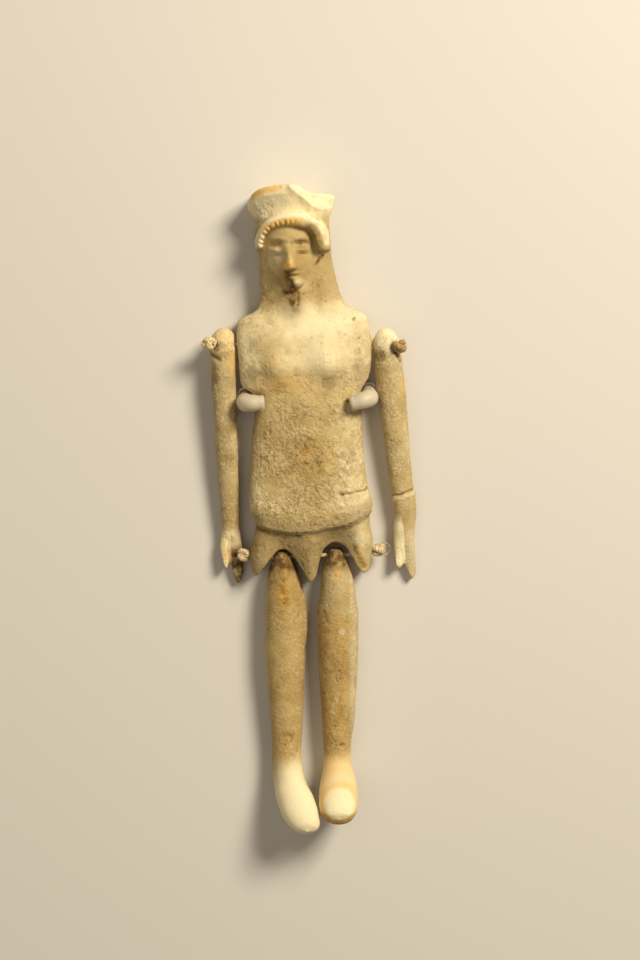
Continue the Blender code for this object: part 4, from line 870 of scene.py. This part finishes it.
def arch_middle(inside):
    """Half way between the walls of the leg arch round a place, at the hip string's height."""
    across = np.linspace(LUG_EDGE[0, 0], LUG_EDGE[-1, 0], 601)
    solid = across[curve(LUG_EDGE, across) < HIP_HOLE[0]]
    return (solid[solid < inside].max() + solid[solid > inside].min()) / 2


for name, node, sections, inside, lean, seed in (
    ("clay_right_leg", "right_leg", RIGHT_LEG, -7.4, -1.4, 400),
    ("clay_left_leg", "left_leg", LEFT_LEG, 5.8, -1.9, 500),
):
    to_frame = np.eye(4)
    to_frame[:3, 3] = arch_middle(inside), HIP_HOLE[0], 0
    to_frame = to_frame @ turned("Z", lean)
    rings = leg_rings(sections, LEG_ROWS, LEG_SIDES)
    px, py, pz = np.moveaxis(rings, -1, 0)
    front = ramp(outward_normals(rings)[..., 2], -0.1, 0.35)
    foot = ramp(py, -50.0, -54.0)
    shin = 1 - foot
    fine = grains(rings, 0.6, seed, 0.6)
    gritty = np.clip(0.4 + 0.35 * drift(rings, 6.0, seed + 10), 0.08, 1) * (1 - 0.85 * foot)
    pitted = pinholes(rings, seed + 46) * shin * front
    at_hole = bump(np.hypot(py, pz - HIP_HOLE[1]), 1.2) * ramp(np.abs(px), 1.2, 2.2)
    relief = (
        0.09 * gritty * fine + 0.07 * drift(rings, 1.8, seed + 20) * (1 - 0.6 * foot)
        + 0.14 * drift(rings, 6.0, seed + 30) - 0.08 * pitted - 0.4 * at_hole
    )  # fmt: skip
    soil = (
        0.35 * ramp(fine, 0.3, 0.0) * gritty + 0.22 * ramp(drift(rings, 3.0, seed + 40), 0.1, 0.8) * shin
        # The last term is painted shade on the leg's top, which sits in the arch under the lugs
        + 0.3 * pitted + 0.8 * at_hole + 0.9 * ramp(py, -5.0, -1.2)
    )  # fmt: skip
    crust = 0.25 * drift(rings, 3.5, seed + 80)
    if inside < 0:
        # A long rubbed scar below the hip, a pale foot that is partly painted light, and brown soil over the
        # ankle
        scar = np.hypot((px - 0.1) / 1.4, (py + 9.2) / 4.3) + 0.15 * drift(rings, 1.2, seed + 50)
        scar = bump(scar, 1.0)
        bare = 0.95 * scar + (0.12 + 0.08 * ramp(py, -40.0, -44.0)) * shin
        soil = (
            soil + 0.45 * scar + 0.06 * shin + 0.12 * patch(rings, 0.8, -45.5, 2.2, 2.2, seed + 60)
            + 0.15 * ramp(py, -22.0, -8.0) * (1 - ramp(px, -3.0, -4.5))
        )  # fmt: skip
        pale_line = py + 0.4 * drift(rings, 2.0, seed + 70) - 0.7 * px
        # The pale foot also stands for painted light: paler on faces turned up, fading in gradually down the
        # foot
        worn = 1.05 * (0.4 + 0.6 * front) * ramp(pale_line, -48.5, -59.5)
        crust = crust + 0.15 + 0.3 * fine * gritty + 0.4 * ramp(px, -3.4, -4.8)
        rough_spots = patch(rings, 0.8, -46.4, 1.8, 1.3, seed + 85)
    else:
        # A pale oval on an orange foot, orange below the hip, pale specks, two grooves down the shin, and
        # painted shade on the toe's front edge
        thigh = ramp(py, -13.0, -17.0) * ramp(px, 3.6, 2.0) * shin
        from_oval = np.hypot((px - 0.6) / 3.9, (py + 62.4) / 3.8) + 0.06 * drift(rings, 1.5, seed + 60)
        pale_oval = ramp(from_oval, 1.05, 0.88)
        orange = (0.38 + 0.2 * drift(rings, 3.0, seed + 61)) * (1 - pale_oval)
        orange = orange + 0.3 * bump(from_oval - 1.15, 0.17)
        bare = 0.45 * patch(rings, 0.2, -4.6, 1.0, 2.6, seed + 50) + 0.3 * thigh + foot * orange
        specks = ramp(grains(rings, 0.9, seed + 70, 0.3), 0.4, 0.7)
        chips = ramp(drift(rings, 0.9, seed + 77), -0.3, 0.2)
        worn = (
            0.95 * pale_oval * foot * ramp(pz, 3.0, 6.0) + 0.9 * foot * (1 - ramp(py, -63.6, -65.0))
            + specks * patch(rings, -0.6, -39.5, 1.6, 3.4, seed + 75)
            + 0.8 * chips * patch(rings, -0.6, -39.5, 1.2, 3.0, seed + 76)
            + 1.2 * patch(rings, 1.5, -19.2, 0.85, 0.95, seed + 78, 0.3)
            + 0.6 * patch(rings, -2.2, -12.6, 0.35, 0.4, seed + 79)
        )  # fmt: skip
        crust = crust + 0.2 + 0.65 * ramp(px, 2.9, 4.3) + 0.3 * ramp(py, -12.0, -6.0)
        wandering = px + 0.7 * drift(rings, 1.7, seed + 81)
        groove = bump(off_line(wandering, py, (1.1, -35.0), (0.8, -41.0)), 0.36)
        groove = groove + bump(off_line(wandering, py, (-2.7, -14.0), (-2.3, -17.0)), 0.32)
        groove = groove * ramp(drift(rings, 1.3, seed + 83), -0.7, 0.2) * front
        relief = relief - 0.13 * groove
        soil = (
            soil + 0.14 * thigh + 0.36 * groove + 0.1 * ramp(py, -16.0, -6.0) + 0.13 * bump(py + 27.0, 7.0)
            # Painted shade on the toe's front edge
            + 0.35 * ramp(py, -64.2, -65.3)
        )  # fmt: skip
        rough_spots = patch(rings, 0.2, -48.4, 2.6, 1.0, seed + 85)
        rough_spots = rough_spots + patch(rings, 0.8, -30.0, 1.4, 2.4, seed + 86)
    pits = grains(rings, 0.7, seed + 88, 0.9) * np.minimum(rough_spots, 1)
    relief, soil = relief - 0.22 * pits, soil + 0.55 * pits
    grit = gritty * 0.9 + 0.15 * shin
    marks = {"crust": crust, "bare": bare * front, "soil": soil, "worn": worn, "grit": grit}
    clay_piece(name, node, rings, relief, marks, to_frame)

# The strings: undyed twine of three twisted yarns. One ties both arms on through the shoulders and one ties
# both legs on through the lugs. A knot at each end stops it from slipping out. Sizes are in millimetres.
KNOT_WIDE = HOLE_WIDE + 2 * 0.7
KNOT_STRAND, KNOT_TIGHT = 0.8, 0.25
LAY_LENGTH, YARN_DIP, YARNS = 2.4, 0.24, 3
FRAYED_FIBRES, FIBRE_RADIUS = 34, (0.05, 0.025)
FIBRE_GRAIN = 0.52632
HOLE_STRAIGHT = 0.25
ACROSS = np.array([0.0, 1.0, 0.0])


def twine_finish():
    """Undyed plant-fibre twine, twisted and unwaxed: matt, with pale and brown fibres lying beside each other.
    The fibres' grain is drawn coarser than real fibres, so that it shows."""
    finish, tree, shader = new_finish("undyed plant fibre twine")
    place = add(tree, "ShaderNodeTexCoord").outputs["Object"]
    fibres = add(tree, "ShaderNodeTexNoise", Vector=place, Scale=1 / (FIBRE_GRAIN * MM), Detail=4.0)
    limits = {"Value": fibres.outputs["Fac"], "From_Min": 0.35, "From_Max": 0.65}
    paler = add(tree, "ShaderNodeMapRange", **limits).outputs["Result"]
    browner = add(tree, "ShaderNodeAttribute", {"attribute_name": "brown"}).outputs["Fac"]
    tone = colour("#b89a63")
    for share, tint in ((paler, "#f4e6c0"), (browner, "#9c7440")):
        tone = add(tree, "ShaderNodeMix", {"data_type": "RGBA"}, i0=share, i6=tone, i7=colour(tint)).outputs[2]
    tree.links.new(tone, shader.inputs["Base Color"])
    shader.inputs["Roughness"].default_value = 0.95
    shader.inputs["Specular IOR Level"].default_value = 0.2
    return finish


twine = twine_finish()


def distance_along(path):
    """How far along a path each of its points lies."""
    return np.concatenate([[0], np.cumsum(np.linalg.norm(np.diff(path, axis=0), axis=1))])


def even_path(corners, spacing):
    """Points a set distance apart on a smooth curve through the corners, by cumulative length."""
    reach = distance_along(corners)
    at = np.linspace(0, reach[-1], int(reach[-1] / spacing) + 2)
    return np.stack([smooth(at, reach, corners[:, k]) for k in range(3)], axis=1)


def tube(path, radii, sides, beside, yarns=0):
    """Round sections along a path, turned from the cross product of path and beside. Twisted yarns cut the
    radius by YARN_DIP * (1 - |cos(yarns / 2 * (turn - 2 pi s / LAY_LENGTH))|) at distance s along the path."""
    along = np.gradient(path, axis=0)
    along /= np.linalg.norm(along, axis=1, keepdims=True)
    across = np.cross(along, beside)
    across /= np.linalg.norm(across, axis=1, keepdims=True)
    other = np.cross(along, across)
    turn = np.linspace(0, 2 * math.pi, sides, endpoint=False)[None, :]
    radius = np.asarray(radii, float).reshape(-1, 1) + 0 * turn
    if yarns:
        twist = turn - 2 * math.pi * distance_along(path)[:, None] / LAY_LENGTH
        radius = radius * (1 - YARN_DIP * (1 - np.abs(np.cos(yarns / 2 * twist))))
    circle = across[:, None] * np.cos(turn)[..., None] + other[:, None] * np.sin(turn)[..., None]
    return path[:, None] + radius[..., None] * circle


def closing(ring):
    """A row whose points all lie at a ring's middle, which closes the end there."""
    return np.repeat(ring.mean(axis=0)[None, None], len(ring), axis=1)


def knot_path(centre, outward_way, wide, turn):
    """An overhand knot drawn tight: a trefoil across its axis,
    (sin t + 2 sin 2t, cos t - 2 cos 2t, -2.4 sin 3t)."""
    t = np.linspace(0.35, 2 * math.pi + 0.2, 150)
    trefoil = np.sin(t) + 2 * np.sin(2 * t), np.cos(t) - 2 * np.cos(2 * t), -2.4 * np.sin(3 * t)
    loop = np.stack(trefoil, axis=1) * (wide / 2 - KNOT_STRAND) / 3.0
    axis = outward_way / np.linalg.norm(outward_way)
    first = np.cross(axis, [0.2, 1.0, 0.1])
    first /= np.linalg.norm(first)
    second = np.cross(axis, first)
    c, s = math.cos(turn), math.sin(turn)
    basis = np.stack([c * first + s * second, c * second - s * first, axis])
    return centre + loop @ basis


def fibre_path(start, way, length, curl, seed):
    """One loose fibre: a line that bends by a slow random turn, length long."""
    luck = np.random.default_rng(seed)
    t = np.linspace(0, 1, 12)[:, None]
    side = luck.normal(size=3) * curl
    second = luck.normal(size=3) * curl * 0.5
    return start + way * length * t + side * length * t**2 + second * length * np.sin(3.0 * t) ** 2 * t


def twine_piece(parts, name, node):
    """Joins tubes to one mesh: each is (rings in millimetres, how brown), closed at both ends."""
    joined = bmesh.new()
    for rings, brown in parts:
        closed = in_metres(np.concatenate([closing(rings[0]), rings, closing(rings[-1])]))
        mesh = surface_mesh(name, closed, {"brown": np.full(closed.shape[:2], brown)})
        joined.from_mesh(mesh)
        bpy.data.meshes.remove(mesh)
    mesh = bpy.data.meshes.new(name)
    joined.to_mesh(mesh)
    joined.free()
    mesh.shade_smooth()
    place_piece(name, mesh, twine, node)


def string_parts(route, browns, lifts, seed):
    """The string along its route, with a knot and frayed fibres beyond each end of it. Each end has its share
    of brown and how far its knot is lifted towards the head."""
    route = np.array(route, float)
    run = even_path(route, 0.16)
    parts = [(tube(run, [STRING_THICK / 2] * len(run), 18, ACROSS, YARNS), 0.15)]
    for k, (end, before) in enumerate(((route[0], route[1]), (route[-1], route[-2]))):
        way = (end - before) / np.linalg.norm(end - before)
        centre = end + way * (KNOT_WIDE / 2 - KNOT_TIGHT) + np.array([0, lifts[k], 0])
        path = knot_path(centre, way, KNOT_WIDE * 1.08, 0.7 + 1.9 * k + seed)
        parts.append((tube(path, np.full(len(path), KNOT_STRAND), 18, way, YARNS), browns[k]))
        luck = np.random.default_rng(seed * 10 + k)
        for _ in range(FRAYED_FIBRES):
            lean = luck.normal(size=3) * 0.75
            out = (way + lean) / np.linalg.norm(way + lean)
            start = centre + out * (KNOT_WIDE / 2 - 0.75)
            path = fibre_path(start, out, luck.uniform(0.5, 1.05), 0.35, int(luck.integers(1, 9999)))
            fibre = tube(path, np.linspace(*FIBRE_RADIUS, len(path)), 5, [0.3, 0.2, 0.9])
            parts.append((fibre, browns[k] * 0.7))
    return parts


shoulders = [np.array([s * (body_edge(SHOULDER_HOLE[0], s) + HOLE_STRAIGHT), *SHOULDER_HOLE]) for s in (-1, 1)]
route = [*shoulder_ends[-1], *shoulders, *reversed(shoulder_ends[1])]
parts = string_parts(route, browns=(0.0, 0.7), lifts=(0.6, 0.2), seed=3)
twine_piece(parts, "shoulder_twine", "shoulder_string")

first, last = (np.array([s * body_edge(HIP_HOLE[0], s), *HIP_HOLE]) for s in (-1, 1))
between = [first * 0.7 + last * 0.3, first * 0.3 + last * 0.7]
route = [first - [TOUCH_GAP, -0.4, 0], *between, last + [TOUCH_GAP, 0.3, 0]]
parts = string_parts(route, browns=(0.2, 0.0), lifts=(0.5, 0.5), seed=5)
# One long loose fibre curls out beyond the last knot
t = np.linspace(2.4, -1.5, 40)
loose = route[-1] + np.stack([2.9 + 1.5 * np.cos(t), 0.9 + 1.6 * np.sin(t), 0.8 + 0.5 * np.sin(2 * t)], axis=1)
parts.append((tube(loose, np.full(len(loose), 0.06), 6, [0, 0, 1.0]), 0.0))
twine_piece(parts, "hip_twine", "hip_string")

# The display pins: drawn steel wire, bent over the waist's edge, each on a small round foot. A sleeve of
# milky silicone tube over the wire keeps the metal off the clay.
FOOT_ROUND, SLEEVE_ROUND, PIN_SPACING = 0.12, 0.85, 0.25


def pin_steel():
    """Drawn stainless wire: a grey metal with a soft sheen from the drawing."""
    finish, _, shader = new_finish("drawn stainless steel wire")
    shader.inputs["Base Color"].default_value = colour("#c4c2bd")
    shader.inputs["Metallic"].default_value = 1.0
    shader.inputs["Roughness"].default_value = 0.32
    return finish


def silicone_sleeve():
    """Extruded silicone tube: milky, so that light passes but nothing shows sharply through it."""
    finish, _, shader = new_finish("milky silicone tube")
    shader.inputs["Base Color"].default_value = colour("#f3e3c8")
    shader.inputs["Roughness"].default_value = 0.42
    shader.inputs["IOR"].default_value = 1.41
    shader.inputs["Transmission Weight"].default_value = 0.4
    shader.inputs["Subsurface Weight"].default_value = 0.6
    shader.inputs["Subsurface Radius"].default_value = (1.0, 0.85, 0.7)
    shader.inputs["Subsurface Scale"].default_value = 0.0025
    return finish


steel, silicone = pin_steel(), silicone_sleeve()


def dense_route(outward):
    """The pin's middle line with points PIN_SPACING apart."""
    corners, _ = pin_route(outward)
    reach = distance_along(corners)
    at = np.linspace(0, reach[-1], int(reach[-1] / PIN_SPACING))
    return np.stack([np.interp(at, reach, corners[:, k]) for k in range(3)], axis=1)


def flat_disc(middle, radius, sides):
    """A level ring of points."""
    turn = np.linspace(0, 2 * math.pi, sides, endpoint=False)
    return np.asarray(middle) + radius * np.stack([np.cos(turn), np.sin(turn), 0 * turn], axis=1)


for side, outward in (("right", -1), ("left", 1)):
    path = dense_route(outward)
    foot, rim = path[0] * [1, 1, 0], PIN_FOOT_WIDE / 2
    levels = (
        (0.0, 0.0), (0.0, rim - FOOT_ROUND), (FOOT_ROUND, rim), (PIN_FOOT_THICK - FOOT_ROUND, rim),
        (PIN_FOOT_THICK, rim - FOOT_ROUND), (PIN_FOOT_THICK, PIN_WIRE / 2),
    )  # fmt: skip
    discs = [flat_disc(foot + [0, 0, z], radius, 32) for z, radius in levels]
    wire_path = path[path[:, 2] > PIN_FOOT_THICK + 0.2][:-2]
    wire = np.roll(tube(wire_path, [PIN_WIRE / 2] * len(wire_path), 32, ACROSS), 16, axis=1)
    rings = np.concatenate([np.array(discs), wire, closing(wire[-1])])
    mesh = surface_mesh(f"wire_pin_{side}", in_metres(rings))
    mesh.set_sharp_from_angle(angle=math.radians(40))
    place_piece(f"wire_pin_{side}", mesh, steel, f"pin_{side}")

    # The sleeve starts clear of the foot, swells beyond the bend and is rounded at both ends
    start = path[0] + [0, 0, TOUCH_GAP]
    cover = np.concatenate([[start], path[path[:, 2] > start[2] + 0.05]])
    rounding = SLEEVE_WALL * SLEEVE_ROUND
    from_start, from_tip = (np.linalg.norm(cover - cover[k], axis=1) for k in (0, -1))
    near = np.minimum(np.minimum(from_start, from_tip) / rounding, 1)
    soften = rounding * (1 - np.sqrt(1 - (1 - near) ** 2))
    swell = 0.42 * bump(cover[:, 2] - cover[-1, 2] + 1.2, 1.6) * ramp(from_tip, 1.2, 3.2)
    outer = tube(cover, SLEEVE_WIDE / 2 - soften + swell, 36, ACROSS)
    inner = tube(cover, SLEEVE_BORE / 2 + 0 * soften, 36, ACROSS)
    mesh = surface_mesh(f"silicone_sleeve_{side}", in_metres(np.concatenate([outer, inner[::-1], outer[:1]])))
    place_piece(f"silicone_sleeve_{side}", mesh, silicone, f"sleeve_{side}")

# The floor, the lights and the camera. The floor is plain and pale. A soft warm key light stands at the
# top right, and the camera looks almost straight down, as the photograph does. Sizes here are in metres.
FLOOR_REACH = 2.5
corners = [(x * FLOOR_REACH, y * FLOOR_REACH, 0) for x, y in ((-1, -1), (1, -1), (1, 1), (-1, 1))]
floor_mesh = bpy.data.meshes.new("pale_floor")
floor_mesh.from_pydata(corners, [], [(0, 1, 2, 3)])
floor = bpy.data.objects.new("pale_floor", floor_mesh)
bpy.context.scene.collection.objects.link(floor)
card, _, shader = new_finish("pale matt card")
shader.inputs["Base Color"].default_value = colour("#d9d4cb")
shader.inputs["Roughness"].default_value = 0.9
floor_mesh.materials.append(card)


def soft_light(name, at, wide, power, tint):
    """A square area light that points at the doll."""
    data = bpy.data.lights.new(name, "AREA")
    data.size, data.energy, data.color = wide, power, colour(tint)[:3]
    lamp = bpy.data.objects.new(name, data)
    lamp.location = at
    lamp.rotation_euler = Vector(at).to_track_quat("Z", "Y").to_euler()
    bpy.context.scene.collection.objects.link(lamp)


soft_light("key", (0.42, 0.42, 0.58), 0.26, 8.0, "#fff5e2")
soft_light("fill", (-0.30, -0.05, 0.80), 0.8, 1.5, "#fff6ea")

world = bpy.data.worlds.new("soft room")
world.use_nodes = True
world.node_tree.nodes["Background"].inputs["Color"].default_value = colour("#ecdfc6")
world.node_tree.nodes["Background"].inputs["Strength"].default_value = 0.16
bpy.context.scene.world = world
bpy.context.scene.view_settings.view_transform = "Standard"

# Where the camera looks, its lean from straight down, its turn, its distance and half the height it sees
LOOK_AT = Vector((0.00215, 0.0068, 0.0))
LEAN, TURN, DISTANCE, HALF_VIEW = math.radians(4.5), math.radians(2.2), 0.6, 0.1236044
back = Vector((0, math.sin(LEAN), math.cos(LEAN)))
across = Vector((math.sin(TURN), math.cos(TURN), 0)).cross(back).normalized()
up = back.cross(across)
where = LOOK_AT + back * DISTANCE
camera_data = bpy.data.cameras.new("camera")
camera_data.sensor_fit = "VERTICAL"
camera_data.angle = 2 * math.atan(HALF_VIEW / DISTANCE)
camera = bpy.data.objects.new("camera", camera_data)
camera.matrix_world = Matrix([(across[k], up[k], back[k], where[k]) for k in range(3)] + [(0, 0, 0, 1)])
bpy.context.scene.collection.objects.link(camera)
bpy.context.scene.camera = camera
